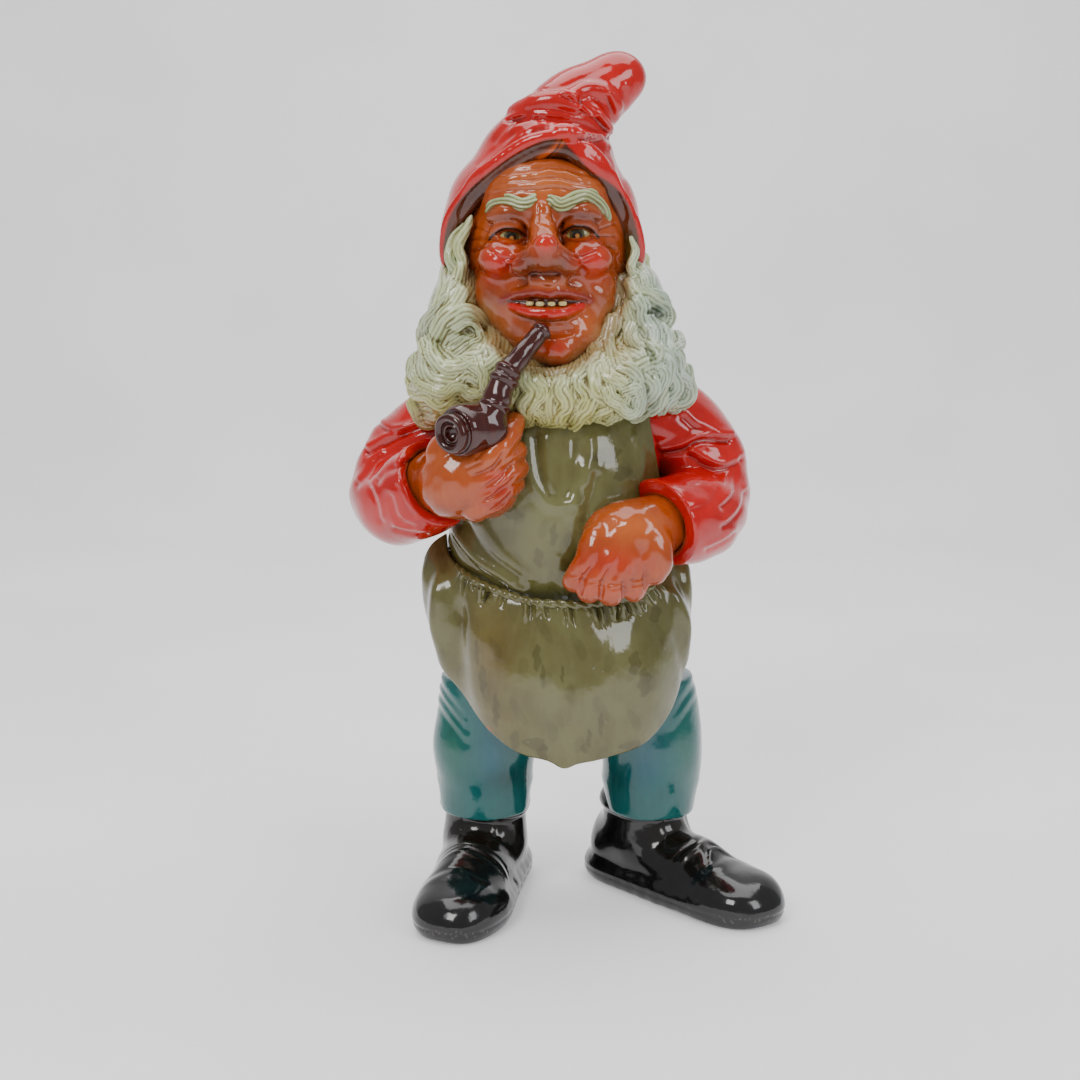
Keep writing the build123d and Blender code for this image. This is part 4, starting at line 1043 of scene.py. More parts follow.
def build_hair():
    low, high = room_for("hair_and_beard")
    middle_y = 22.0  # where the front casting meets the hair behind
    clay = Clay(low, (high[0], middle_y + 4, high[2]), 0.95)
    clay.egg((-16, 38, 440), (71, 52, 60), 4)
    clay.egg((-75, 4, 412), (22, 30, 42), 8)
    clay.egg((-83, -8, 374), (21, 34, 28), 8)
    clay.egg((50, 6, 414), (19, 30, 42), 8)
    clay.egg((55, -8, 384), (22, 36, 30), 8)
    clay.egg((-14, -20, 374), (60, 30, 24), 8)
    clay.egg((28, -24, 376), (34, 30, 22), 8)
    clay.egg((-44, -22, 382), (34, 26, 26), 8)
    clay.egg((-8, -36, 368), (40, 17, 17), 6)
    clay.egg((8, -20, 388), (22, 16, 14), 6)
    clay.egg((-15.3, -38, 449), (49.8, 30, 60.5), 3, True)
    clay.egg((-13.5, -16, 474), (54, 18, 46), 3, True)
    clay.rope([(19, -17, 397), (26, -11, 411), (30, -7, 428), (36, -3, 446)], [5, 6, 6, 4], 5)
    base = Clay(clay.low, clay.low + clay.step * (clay.count - 1), clay.step)
    base.depth = clay.depth.copy()
    lines = []
    for line, root, tip, proud in LOCKS:
        line = smooth_line([(x, 0, z) for x, z in line], 5)[:, [0, 2]]
        way = np.gradient(line, axis=0)
        way /= np.linalg.norm(way, axis=1, keepdims=True)
        walked = np.r_[0, np.cumsum(np.linalg.norm(np.diff(line, axis=0), axis=1))]
        loose = 0.3 + 0.7 * max(rise(line[:, 0].mean(), 0, 24), rise(-line[:, 1].mean(), -382, -366))
        sway = 1.5 * loose * np.sin(2 * math.pi * walked / 20 + 2.0 * len(lines)) * rise(walked, 0, 8)
        line = line + np.stack([way[:, 1], -way[:, 0]], 1) * sway[:, None]
        places = np.array(front_of(base, line, 0.0))
        level = np.convolve(np.pad(places[:, 1], 3, mode="edge"), np.ones(7) / 7, "valid")
        places[:, 1] = level - proud + 2.2 - 1.8 * math.sin(2.4 * len(lines))
        lines.append(places)
        core = places[::2]
        sizes = np.interp(np.linspace(0, 1, len(core)), (0, 0.6, 0.85, 1),
                          (root, root * 0.95, (root + tip) / 2, tip))
        clay.rope(core, sizes * 0.92, 2.2, rounds=2)
        step = np.gradient(core, axis=0)
        aside = np.stack([step[:, 2], 0 * step[:, 0], -step[:, 0]], 1)
        aside /= np.linalg.norm(aside, axis=1, keepdims=True) + 1e-9
        for way in (-1, 1):
            drift = way * (0.66 + 0.26 * np.sin(np.arange(len(step)) * 0.6 + draw.uniform(0, 6)))
            strand = core + aside * (sizes * drift)[:, None] + (0, -draw.uniform(-0.4, 1.6), 0)
            clay.rope(strand, sizes * draw.uniform(0.34, 0.58), 1.9, rounds=2)
    clay.rope(front_of(clay, [(-72, 410), (-67, 412.5), (-62, 409)], 0), [1.0, 3.2, 1.0], 1.5, True)
    clay.rope(front_of(clay, [(52, 424), (58, 424.5), (62, 420)], 0), [0.8, 2.6, 0.8], 1.5, True)
    clay.rope(front_of(clay, [(-78, 358), (-70, 360), (-62, 357)], 0), [0.8, 3.0, 0.8], 2, True)
    clay.rope(front_of(clay, [(50, 404), (56, 392), (55, 382)], 0), [0.6, 2.2, 0.6], 2, True)

    # The strands that come down inside the hood, beside the temples.
    for line, radii in (
        ([(-65, -10, 487), (-69, -9, 478), (-74, -9, 468), (-71, -12, 458), (-74, -14, 447),
          (-78, -14, 437)], [1.6, 3.0, 3.6, 3.2, 3.6, 3.0]),
        ([(-71, -6, 482), (-78, -5, 472), (-80, -7, 461), (-77, -9, 450), (-82, -9, 440)],
         [1.4, 2.6, 3.2, 3.4, 3.0]),
        ([(42, -8, 474), (45, -8, 464), (42, -11, 454), (47, -12, 444)], [1.2, 2.6, 3.0, 2.4]),
    ):
        lines.append(smooth_line(line, 5))
        clay.rope(line, radii, 1.5, rounds=5)
    clay.slab((0, middle_y, 0), (0, 1, 0), 0.8)

    def nearest(p):
        """For each point: which lock is nearest, how far across it, and how far along it."""
        across = np.full(len(p), 1e9)
        side = np.zeros(len(p))
        along = np.zeros(len(p))
        which = np.zeros(len(p), int)
        for number, line in enumerate(lines):
            close = (p[:, 0] > line[:, 0].min() - 12) & (p[:, 0] < line[:, 0].max() + 12)
            close &= (p[:, 2] > line[:, 2].min() - 12) & (p[:, 2] < line[:, 2].max() + 12)
            spots = np.where(close)[0]
            for k in range(len(line) - 1):
                a, b = line[k], line[k + 1]
                step = b - a
                gap = p[spots] - a
                share = np.clip((gap @ step) / (step @ step), 0, 1)
                gap = gap - share[:, None] * step
                far = np.linalg.norm(gap, axis=1)
                better = far < across[spots]
                at = spots[better]
                across[at] = far[better]
                cross = step[2] * gap[better, 0] - step[0] * gap[better, 2]
                side[at] = cross / (np.hypot(step[0], step[2]) + 1e-9)
                along[at] = k + share[better]
                which[at] = number
        return across, side, along, which

    memory = {}

    def relief(p, out):
        across, side, along, which = nearest(p)
        memory["lines"] = across, side, along, which
        pitch = 2.7 + 0.6 * np.sin(which * 2.1)
        wobble = 1.4 * np.sin(along * 0.30 + which) + 0.6 * np.sin(along * 0.7 + which * 1.7)
        comb = np.cos(2 * math.pi * (side + wobble) / pitch + which * 1.3)
        comb = 0.7 * comb + 0.3 * np.cos(2 * math.pi * (side - wobble) / (pitch * 1.7) + which)
        memory["comb"] = comb
        strength = np.where(across < 60, 0.46, 0.0) * (0.7 + 0.3 * np.sin(which * 3.3 + along * 0.2))
        loose = 0.4 * np.sin(p[:, 0] * 1.5 + 2.2 * np.sin(p[:, 2] * 0.16 + p[:, 1] * 0.1)) * (across >= 60)
        return strength * comb + loose

    def paint(p, out, groove):
        x, y, z = p.T
        across, side, along, which = memory["lines"]
        colour = np.tile(BEARD, (len(p), 1))
        blue = np.clip(rise(x, 28, 62) * 0.7 + 0.15 * np.sin(which * 4.0) + 0.3 * hump(x, -92, 14), 0,
                       0.8)[:, None]
        colour = over(colour, blue, tint(164, 184, 174))
        yellow = (np.clip(rise(-z, -396, -356) * 0.75 * rise(-x, -40, -10), 0, 1))[:, None]
        colour = over(colour, yellow, tint(182, 178, 96))
        ochre = np.where((rise(x, 26, 52) > 0.5)[:, None], tint(92, 100, 66), OCHRE)
        line = (rise(-memory["comb"], -0.1, 0.85) * (across < 60) * 0.62)[:, None]
        colour = over(colour, line, ochre)
        deep = rise(groove, -0.03, 0.42)[:, None]
        colour = over(colour, 0.92 * deep, ochre)
        for patch in (
            ((-60, -40, 358), (30, 40, 11), 0.5, tint(120, 78, 20)),
            ((-94, -20, 350), (18, 40, 8), 0.7, tint(132, 74, 20)),
            ((34, -40, 404), (10, 40, 16), 0.30, tint(160, 110, 40)),
            ((60, -20, 424), (8, 20, 6), 0.6, tint(40, 62, 66)),
            ((52, -40, 366), (8, 30, 10), 0.4, tint(84, 92, 74)),
            ((-80, -4, 470), (10, 20, 14), 0.5, tint(140, 144, 62)),
        ):
            colour = blot(colour, p, *patch)
        edge = np.sqrt(((x + 13.5) / 53) ** 2 + ((z - 449) / 63) ** 2)
        warm = (rise(-edge, -1.10, -0.98) * (z > 380) * 0.65)[:, None]
        return over(colour, warm, tint(140, 92, 34))

    solid("beard", clay, "beard_enamel", ("hair_and_beard",), paint, smoothing=1, relief=relief)

    clay = Clay((low[0], 2, low[2]), high, 1.3)
    clay.egg((-15, 26, 452), (70, 60, 40), 4)
    clay.egg((-15, 26, 410), (78, 58, 50), 10)
    clay.egg((-15, 20, 372), (84, 52, 26), 10)
    clay.slab((0, 6, 0), (0, -1, 0), 0.8)
    for row, (height, reach, wide) in enumerate(((452, 42, 70), (420, 46, 78), (390, 42, 84))):
        for k in range(11):
            angle = math.radians(4 + 17.2 * k + 6 * (row % 2))
            start = np.array((-15 + wide * 0.94 * math.cos(angle), 24 + 55 * math.sin(angle), height))
            drift = 7 * math.sin(k * 2.1 + row)
            line = [start + (0, 0, 6), start + (drift * 0.6, 2, -reach * 0.3),
                    start + (-drift * 0.5, 3, -reach * 0.62),
                    start + (drift * 0.7, 0, -reach)]
            clay.rope(line, [6.5, 7.5, 6.5, 4.0], 2.5, rounds=3)

    def back_relief(p, out):
        angle = np.arctan2(p[:, 1] - 24, p[:, 0] + 15)
        flow = angle * 74 + 3.0 * np.sin(p[:, 2] * 0.13 + angle * 5) + 1.2 * np.sin(p[:, 2] * 0.31)
        return 0.55 * np.sin(flow * 2.0) + 0.35 * np.sin(flow * 1.13 + 1)

    def back_paint(p, out, groove):
        deep = rise(groove, -0.05, 0.5)[:, None] * 0.75
        return over(BEARD, deep, OCHRE)

    solid("hair", clay, "beard_enamel", (), back_paint, smoothing=1, relief=back_relief)


# ---------------------------------------------------------------- jacket and sleeves
def torso_shape(clay, grow=0.0):
    clay.egg((-5, 20, 258), (77 + grow, 60 + grow, 62 + grow), 10)
    clay.egg((-6, 18, 322), (72 + grow, 60 + grow, 62 + grow), 14)
    clay.egg((-4, -6, 288), (58 + grow, 40 + grow, 56 + grow), 14)
    clay.bar((-58, 22, 350), (48, 22, 350), 31 + grow, 31 + grow, 14)


def build_jacket():
    clay = Clay(*room_for("jacket"), 1.7)
    torso_shape(clay)
    clay.slab((0, 0, 208.5), (0, 0, -1), 2)
    clay.slab((0, 0, 391), (0, 0, 1), 3)

    def relief(p, out):
        x, y, z = p.T
        lift = 1.2 * np.sin(x * 0.06 + z * 0.11) * rise(y, 0, 40)
        lift += 1.4 * np.sin(z * 0.24 + x * 0.03) * rise(-z, -270, -236) * rise(y, 10, 50)
        return lift

    solid("jacket", clay, "red_enamel", ("jacket",), red_paint, relief=relief)


def red_paint(p, out, groove):
    # Painted shade: darker red in the grooves and on the surfaces that face down.
    deep = rise(groove, 0.1, 0.9)[:, None] * 0.5
    down = rise(-out[:, 2], 0.2, 0.95)[:, None] * 0.35
    colour = RED * (1 - deep) + tint(120, 6, 4) * deep
    return over(colour, down, tint(130, 8, 5))


def sleeve(name, path, radii, mouth, folds):
    """An arm in a wide sleeve: a bent bar, creased at the elbow, with a hollow cuff that shows its lining."""
    path = np.array(path, float)
    clay = Clay(path.min(0) - 40, path.max(0) + 40, 1.15)
    clay.rope(path, radii, 6, rounds=4)
    spot, aim, inner = mouth
    aim = np.array(aim, float) / np.linalg.norm(aim)
    clay.slab(np.array(spot) + aim * 1.0, aim, 2.0)
    clay.bar(np.array(spot) - aim * 9, np.array(spot) + aim * 20, inner, inner + 1, 1.5, True)
    side = np.cross(aim, (0, 0, 1.0))
    side /= np.linalg.norm(side)
    other = np.cross(side, aim)
    hem = [np.array(spot) - aim * 2.5 + (side * math.cos(t) + other * math.sin(t)) * (inner + 4.5)
           for t in np.linspace(0, 2 * math.pi, 19)]
    clay.rope(hem, [3.3], 2.0, rounds=2)

    def relief(p, out):
        lift = 0.9 * np.sin(p[:, 0] * 0.11 + p[:, 2] * 0.14) * np.sin(p[:, 1] * 0.12 + p[:, 2] * 0.07)
        facing = rise(-out[:, 1], -0.25, 0.35)
        for line, width, deep in folds:
            line = smooth_line(line, 6)
            beside = line + np.array((0.3, 1.0)) * width * 1.5
            lift -= deep * crease(p, line, width) * facing
            lift += 0.8 * deep * crease(p, beside, width * 1.25) * facing
        behind = rise(out[:, 1], 0.0, 0.5)
        lift += behind * 1.2 * np.sin(p[:, 2] * 0.30 + 0.08 * p[:, 0] + 1.2 * np.sin(p[:, 0] * 0.1))
        return lift

    def paint(p, out, groove):
        colour = red_paint(p, out, groove)
        gap = p - np.array(spot)
        depth = gap @ aim
        radial = np.linalg.norm(gap - depth[:, None] * aim, axis=1)
        lining = (rise(depth, -12, -8) * rise(-radial, -(inner + 3.4), -(inner + 1.6)))[:, None]
        return over(colour, lining, tint(150, 66, 26))

    solid(name, clay, "red_enamel", (name,), paint, relief=relief)


def build_sleeves():
    right = [(-66, 22, 350), (-88, 24, 340), (-112, 24, 322), (-124, 19, 297), (-114, -4, 294),
             (-100, -22, 303),
             (-84, -38, 315)]
    sleeve("right_sleeve", right, [30, 30, 28.5, 27.5, 28, 28, 29],
           ((-90, -32, 311), (0.66, -0.66, 0.42), 22),
           (([(-139, 327), (-127, 334), (-118, 338.5), (-100, 346)], 2.6, 3.0),
            ([(-134, 346), (-124, 342), (-112, 341)], 2.0, 1.6),
            ([(-128, 312), (-120, 321), (-106, 326)], 2.4, 1.6),
            ([(-145, 306), (-137, 315), (-131, 325)], 2.6, 2.0),
            ([(-133, 305), (-129, 296), (-127, 285)], 2.6, 1.4),
            ([(-112, 310), (-108, 299), (-104, 292)], 2.6, 1.2),
            ([(-116, 280), (-106, 278), (-96, 276)], 2.4, 1.8),
            ([(-118, 303), (-113, 288), (-104, 283)], 2.6, 1.2)))
    left = [(56, 22, 350), (76, 24, 342), (94, 22, 322), (98, 17, 296), (92, -6, 286), (78, -26, 285),
            (56, -44, 285)]
    sleeve("left_sleeve", left, [31, 30, 29, 28.5, 28.5, 28, 27.5],
           ((63, -37, 283), (-0.70, -0.62, -0.22), 20.5),
           (([(64, 327), (78, 330.5), (91, 337), (112, 336)], 2.6, 3.2),
            ([(80, 352), (88, 345), (100, 341)], 2.6, 1.4),
            ([(84, 326), (94, 320), (106, 317), (120, 322)], 2.8, 2.0),
            ([(117, 318), (113, 303), (104, 296)], 2.4, 1.8),
            ([(122, 300), (114, 288), (104, 283)], 2.4, 1.8),
            ([(112, 275), (102, 269), (94, 267)], 2.4, 1.4), ([(100, 306), (92, 298), (82, 296)], 2.8, 1.0)))


# ---------------------------------------------------------------- hands
def skin_paint(marks):
    """Flesh paint with soft patches: each mark is a place, a width, a share and a colour."""
    def paint(p, out, groove):
        colour = np.tile(SKIN, (len(p), 1))
        # Painted shade: the surfaces that face down are darker.
        down = rise(-out[:, 2], 0.1, 0.9)[:, None] * 0.45
        colour = over(colour, down, SHADED_SKIN)
        for centre, width, share, ink in marks:
            colour = blot(colour, p, centre, width, share, ink)
        return colour
    return paint


def build_right_hand():
    clay = Clay(*room_for("right_hand"), 0.85)
    clay.bar((-90, -32, 311), (-72, -50, 316), 22, 24, 4)
    clay.egg((-68, -53, 317), (29, 25, 28), 5)
    clay.egg((-78, -52, 308), (20, 20, 17), 5)
    clay.egg((-52, -52, 310), (19, 20, 20), 5)
    # The index finger lies along the pipe; the others curl round behind the palm.
    clay.rope([(-72, -60, 330), (-58, -69, 328), (-47, -71, 337), (-38, -62, 349), (-35, -50, 355)],
              [10, 9.5, 8.4, 7.2, 5.5], 3)
    for number, (high, out,
                 size) in enumerate(((330, 0, 8.2), (318.5, 1.0, 8.4), (308, -1.5, 8.0), (300, -6.0, 7.0))):
        clay.rope([(-62, -68 + number, high - 3), (-46 + out, -69 + number * 1.5, high + 1),
                   (-36 + out, -58, high + 5),
                   (-35 + out, -44, high + 3)], [size + 1, size, size - 0.6, size - 1.4], 1.6)
    clay.rope([(-84, -60, 334), (-76, -58, 342), (-70, -52, 350)], [10, 9, 7], 3)
    for line in (
        [(-56, 313), (-45, 320), (-36, 330)],
        [(-56, 304), (-44, 311), (-36, 319)],
        [(-52, 297), (-43, 302), (-38, 309)],
        [(-62, 321), (-50, 326), (-42, 337)],
    ):
        clay.rope(front_of(clay, line, 0.2), [0.5, 1.5, 0.7], 1.6, True)

    def relief(p, out):
        lift = 0.35 * np.sin(p[:, 0] * 0.35) * np.sin(p[:, 2] * 0.3 + p[:, 1] * 0.2)
        for line in (
            [(-66, 326), (-58, 330)],
            [(-60, 333), (-52, 341)],
            [(-50, 325), (-44, 332)],
            [(-50, 314), (-43, 320)],
        ):
            lift -= 0.7 * crease(p, line, 1.1, front=-45)
        return lift

    # Red paint on the knuckles; the pale patches on the back of the hand and on the index finger are painted
    # highlights; the darker skin at the wrist, inside the cuff, is painted shade.
    marks = [((-46, -72, 321), (9, 16, 5), 0.6, CHEEK), ((-46, -72, 311), (10, 16, 5), 0.6, CHEEK),
             ((-48, -68, 302), (10, 16, 4), 0.45, CHEEK),
             ((-68, -76, 335), (24, 20, 9), 0.30, tint(210, 110, 50)),
             ((-100, -40, 312), (7, 20, 24), 0.5, SHADED_SKIN),
             ((-46, -66, 338), (8, 16, 8), 0.35, tint(214, 90, 40))]
    solid("right_hand", clay, "flesh_enamel", ("right_hand",), skin_paint(marks), relief=relief)


def build_left_hand():
    clay = Clay(*room_for("left_hand"), 0.85)
    clay.bar((66, -34, 284), (44, -54, 280), 20, 23, 4)
    clay.egg((34, -56, 275), (26, 19, 25), 6)
    clay.egg((46, -58, 270), (17, 17, 20), 6)
    for number, (x, tip, size) in enumerate(((7, (4, -63, 250), 8.6), (19, (14, -67, 244), 8.8),
                                             (32, (28, -68, 242), 8.8),
                                             (44, (43, -66, 244), 8.2))):
        knuckle = (x + 6, -70 + abs(number - 1.5) * 2.0, 262 + abs(number - 1.5))
        clay.rope([(x + 12, -64, 278), knuckle, tip, (tip[0] + 1, tip[1] + 9, tip[2] + 0.5)],
                  [size + 2, size + 0.6, size - 1.2, size - 2.2], 2.2)
    clay.rope([(52, -58, 284), (60, -66, 268), (57, -66, 254)], [9, 7.5, 6.5], 4)
    for line in (
        [(15, 262), (9, 252), (8, 242)],
        [(27, 261), (22, 251), (21, 240)],
        [(39, 261), (36, 252), (36, 240)],
        [(50, 263), (50, 254), (50, 245)],
    ):
        clay.rope(front_of(clay, line, 0.3), [0.5, 1.6, 1.0], 1.6, True)

    def relief(p, out):
        lift = 0.35 * np.sin(p[:, 0] * 0.3) * np.sin(p[:, 2] * 0.35 + p[:, 1] * 0.2)
        for x, z in ((6, 256), (18, 252), (31, 251), (44, 253)):
            lift -= 0.6 * crease(p, [(x - 4, z - 1), (x + 4, z)], 0.9, front=-50)
            lift -= 0.5 * crease(p, [(x - 3, z - 4.5), (x + 4, z - 3.5)], 0.9, front=-50)
        return lift

    # Red paint on the back of the hand and the fingers; the pale patch on the back of the hand is a painted
    # highlight; the darker skin at the wrist, inside the cuff, is painted shade.
    marks = [((26, -74, 264), (24, 18, 10), 0.55, CHEEK),
             ((10, -66, 250), (8, 14, 10), 0.45, tint(196, 60, 36)),
             ((30, -70, 244), (24, 14, 6), 0.45, tint(190, 70, 46)),
             ((40, -70, 288), (20, 20, 8), 0.35, tint(214, 116, 54)),
             ((70, -44, 276), (7, 20, 16), 0.5, SHADED_SKIN)]
    solid("left_hand", clay, "flesh_enamel", ("left_hand",), skin_paint(marks), relief=relief)


# ---------------------------------------------------------------- pipe
def build_pipe():
    clay = Clay(*room_for("pipe_bowl", "pipe_stem", "pipe_bit", margin=9), 0.65)
    centre = np.array((-67.5, -77.5, 351.0))
    aim = np.array((-0.62, -0.74, -0.12))
    aim /= np.linalg.norm(aim)
    side = np.cross(aim, (0, 0, 1.0))
    side /= np.linalg.norm(side)
    over = np.cross(side, aim)
    clay.egg(centre, (17.0, 16.5, 17.5), 3)
    clay.egg(centre - aim * 9 + (4, 0, 0), (15, 14, 15.5), 5)
    clay.egg((-51, -72, 351), (11.5, 11, 12.5), 3)
    clay.bar((-53, -73, 350), (-46.5, -69, 371), 9.8, 9.2, 4)
    clay.bar((-46.5, -69, 371), (-41.3, -66, 385), 9.0, 8.2, 2)
    clay.rope([(-41.3, -66, 385), (-34, -62, 394), (-26, -57.5, 403.5), (-18, -53, 412.5)],
              [7.4, 7.0, 6.2, 5.6], 1.5)

    def ring(middle, axis, radius, tube, blend=1.0, dig=False, squash=1.0):
        axis = np.array(axis, float) / np.linalg.norm(axis)
        u = np.cross(axis, (0, 0, 1.0))
        u /= np.linalg.norm(u)
        v = np.cross(u, axis)
        loop = [np.array(middle) + (u * math.cos(t) + v * squash * math.sin(t)) * radius
                for t in np.linspace(0, 2 * math.pi, 33)]
        clay.rope(loop, [tube], blend, dig, rounds=1)

    stem_axis = (0.38, 0.22, 0.9)
    ring((-42.2, -66.6, 382.5), stem_axis, 7.6, 2.2)
    ring((-39.9, -65.4, 387.6), (0.5, 0.3, 0.8), 7.2, 2.1)
    ring((-47.8, -69.8, 366), (0.3, 0.2, 0.93), 9.2, 1.0, 1.2)
    ring((-17.6, -52.8, 412.8), (0.62, 0.35, 0.7), 5.0, 1.9)
    mouth = centre + aim * 13.5
    clay.egg(mouth + aim * 5.5, (11, 11, 11), 1.5, True)
    ring(mouth - aim * 0.5, aim, 10.5, 2.3, 1.5)
    ring(mouth - aim * 4.2, aim, 13.2, 1.0, 1.2, True)
    clay.egg(mouth - aim * 5, (7.6, 7.6, 7.6), 1.5, False)
    clay.egg(mouth - aim * 0.5, (4.8, 4.8, 4.8), 1.5, True)

    def relief(p, out):
        return 0.35 * np.sin(p[:, 0] * 0.34) * np.sin(p[:, 2] * 0.27 + p[:, 1] * 0.1)

    solid("pipe", clay, "pipe_enamel", ("pipe_bowl", "pipe_stem", "pipe_bit"), relief=relief, body="pipe")


# ---------------------------------------------------------------- apron
RUNS = [(-49, 157, 2.2, 13), (-36, 137, 3.2, 8), (-22, 136, 8, 5), (-17, 130, 3.4, 7), (14, 141, 1.6, 7),
        (22, 150, 1.6, 9),
        (11, 134, 2.4, 4), (-21, 196, 2.6, 9), (-17, 184, 1.6, 8), (-4, 186, 1.0, 6), (45, 190, 4.0, 8),
        (52, 176, 4.5, 10),
        (-62, 196, 1.6, 9), (-58, 178, 2.4, 10), (44, 132, 8, 3.4), (60, 220, 4, 6), (-20, 262, 3.0, 7),
        (-10, 278, 2.5, 8),
        (26, 330, 9, 6), (36, 318, 6, 5), (-38, 292, 7, 5), (-2, 256, 3.0, 6)]


def apron_paint(p, out, groove):
    """Olive enamel with browner patches and darker runs where the first coat shows through."""
    x, y, z = p.T
    colour = np.tile(OLIVE, (len(p), 1))
    for centre, width, share, ink in (
        ((-52, -30, 196), (18, 60, 34), 0.55, tint(104, 78, 24)),
                                      ((-46, -30, 150), (16, 60, 18), 0.30, tint(112, 92, 34)),
        ((6, -50, 176), (30, 60, 30), 0.30, tint(118, 118, 84)),
                                      ((66, -10, 190), (16, 60, 44), 0.45, tint(84, 88, 44)),
        ((-4, -50, 300), (34, 60, 26), 0.35, tint(122, 126, 80)),
                                      ((18, -50, 264), (24, 60, 18), 0.30, tint(98, 102, 40)),
        ((-50, -30, 268), (24, 60, 16), 0.30, tint(74, 70, 34)),
                                      ((44, -30, 322), (14, 60, 18), 0.35, tint(92, 88, 48)),
        ((-84, 0, 226), (12, 60, 22), 0.35, tint(84, 80, 50)),
    ):
        colour = blot(colour, p, centre, width, share, ink)
    cloud = 0.6 * np.sin(x * 0.33 + 1.4 * np.sin(z * 0.12)) + 0.5 * np.sin(z * 0.19 + x * 0.1)
    under = rise(cloud, 0.55, 0.8)[:, None] * 0.22
    colour = over(colour, under, DARK_OLIVE)
    for cx, cz, wide, tall in RUNS:
        wander = 0.25 * wide * np.sin(z * 0.7 + cx)
        near = ((x - cx - wander) / wide) ** 2 + ((z - cz) / tall) ** 2
        mark = (rise(-near, -1.15, -0.85) * 0.48)[:, None]
        colour = over(colour, mark, DARK_OLIVE)
    colour = blot(colour, p, (-55, -40, 141), (2.4, 30, 1.8), 0.9, tint(170, 70, 30))
    # Painted shade: the surfaces that face down and the grooves are darker.
    down = rise(-out[:, 2], 0.3, 0.95)[:, None] * 0.4
    colour = over(colour, down, DARK_OLIVE)
    deep = rise(groove, 0.1, 0.9)[:, None] * 0.55
    return over(colour, deep, DARK_OLIVE)


SEAM = [(-87, 9, 256), (-80, -6, 250), (-60, -30, 241), (-28, -45, 232), (-5, -49, 230.5), (16, -47, 230),
        (48, -31, 233),
        (66, -8, 243), (75, 9, 249)]


def build_bib():
    clay = Clay(*room_for("apron_bib", margin=20), 1.2)
    torso_shape(clay, 4.0)
    inner = Clay(clay.low, clay.low + clay.step * (clay.count - 1), clay.step)
    inner.depth[:] = 50
    torso_shape(inner, 0.0)
    clay.depth = np.maximum(clay.depth, -(inner.depth + 1.0))
    # The cut edges of the cloth, seen from the front: the sides, the top under the beard and the waist.
    cut, (x, y, z) = clay.window(clay.low, clay.low + clay.step * clay.count)
    right_side = np.interp(z, (228, 256, 280, 310, 350), (-90, -86, -84, -66, -52))
    left_side = np.interp(z, (228, 256, 300, 330, 350), (74, 74, 66, 60, 56))
    waist = np.interp(x, [s[0] for s in SEAM], [s[2] for s in SEAM])
    bound = np.maximum(np.maximum(right_side - x, x - left_side), np.maximum(waist - 4 - z, z - 360))
    bound = np.maximum(bound, y - 10)
    clay.depth = np.maximum(clay.depth, (bound * 0.8 + 0 * clay.depth).astype(np.float32))

    def relief(p, out):
        x, y, z = p.T
        front = rise(-out[:, 1], 0.1, 0.6)
        lift = 0 * x
        for line, size, deep in (
            ([(-30, 344), (-26, 320), (-16, 303), (-8, 298), (0, 300)], 4.5, 2.0),
            ([(10, 322), (6, 306), (4, 292)], 6.0, 2.4),
            ([(14, 340), (14, 326), (11, 312)], 4.0, 1.4),
            ([(-14, 342), (-12, 322), (-11, 308)], 4.0, 1.2),
            ([(-84, 278), (-70, 262), (-50, 246), (-30, 238)], 4.0, 2.6),
            ([(-76, 276), (-60, 258), (-38, 245)], 2.6, 1.6),
            ([(46, 340), (50, 326), (48, 312)], 4.0, 1.2),
            ([(-6, 262), (-8, 246), (-2, 236)], 3.5, 1.2),
            ([(-60, 284), (-44, 262), (-24, 248)], 4.0, 1.2),
        ):
            lift += deep * crease(p, line, size) * front
        for line, size, deep in (
            ([(-22, 342), (-19, 318), (-13, 305)], 3.0, 1.6),
            ([(4, 340), (3, 318), (-1, 304)], 3.2, 1.2),
            ([(-80, 270), (-64, 254), (-42, 241)], 2.2, 1.8),
            ([(-68, 280), (-54, 262), (-34, 249)], 2.6, 1.2),
            ([(20, 316), (15, 300), (10, 288)], 3.4, 1.0),
            ([(4, 262), (2, 248), (8, 238)], 2.6, 1.0),
        ):
            lift -= deep * crease(p, line, size) * front
        lift += 0.7 * np.sin(x * 0.085 + 1.5) * np.sin(z * 0.075) * front
        return lift

    solid("bib", clay, "apron_enamel", ("apron_bib",), apron_paint, relief=relief)


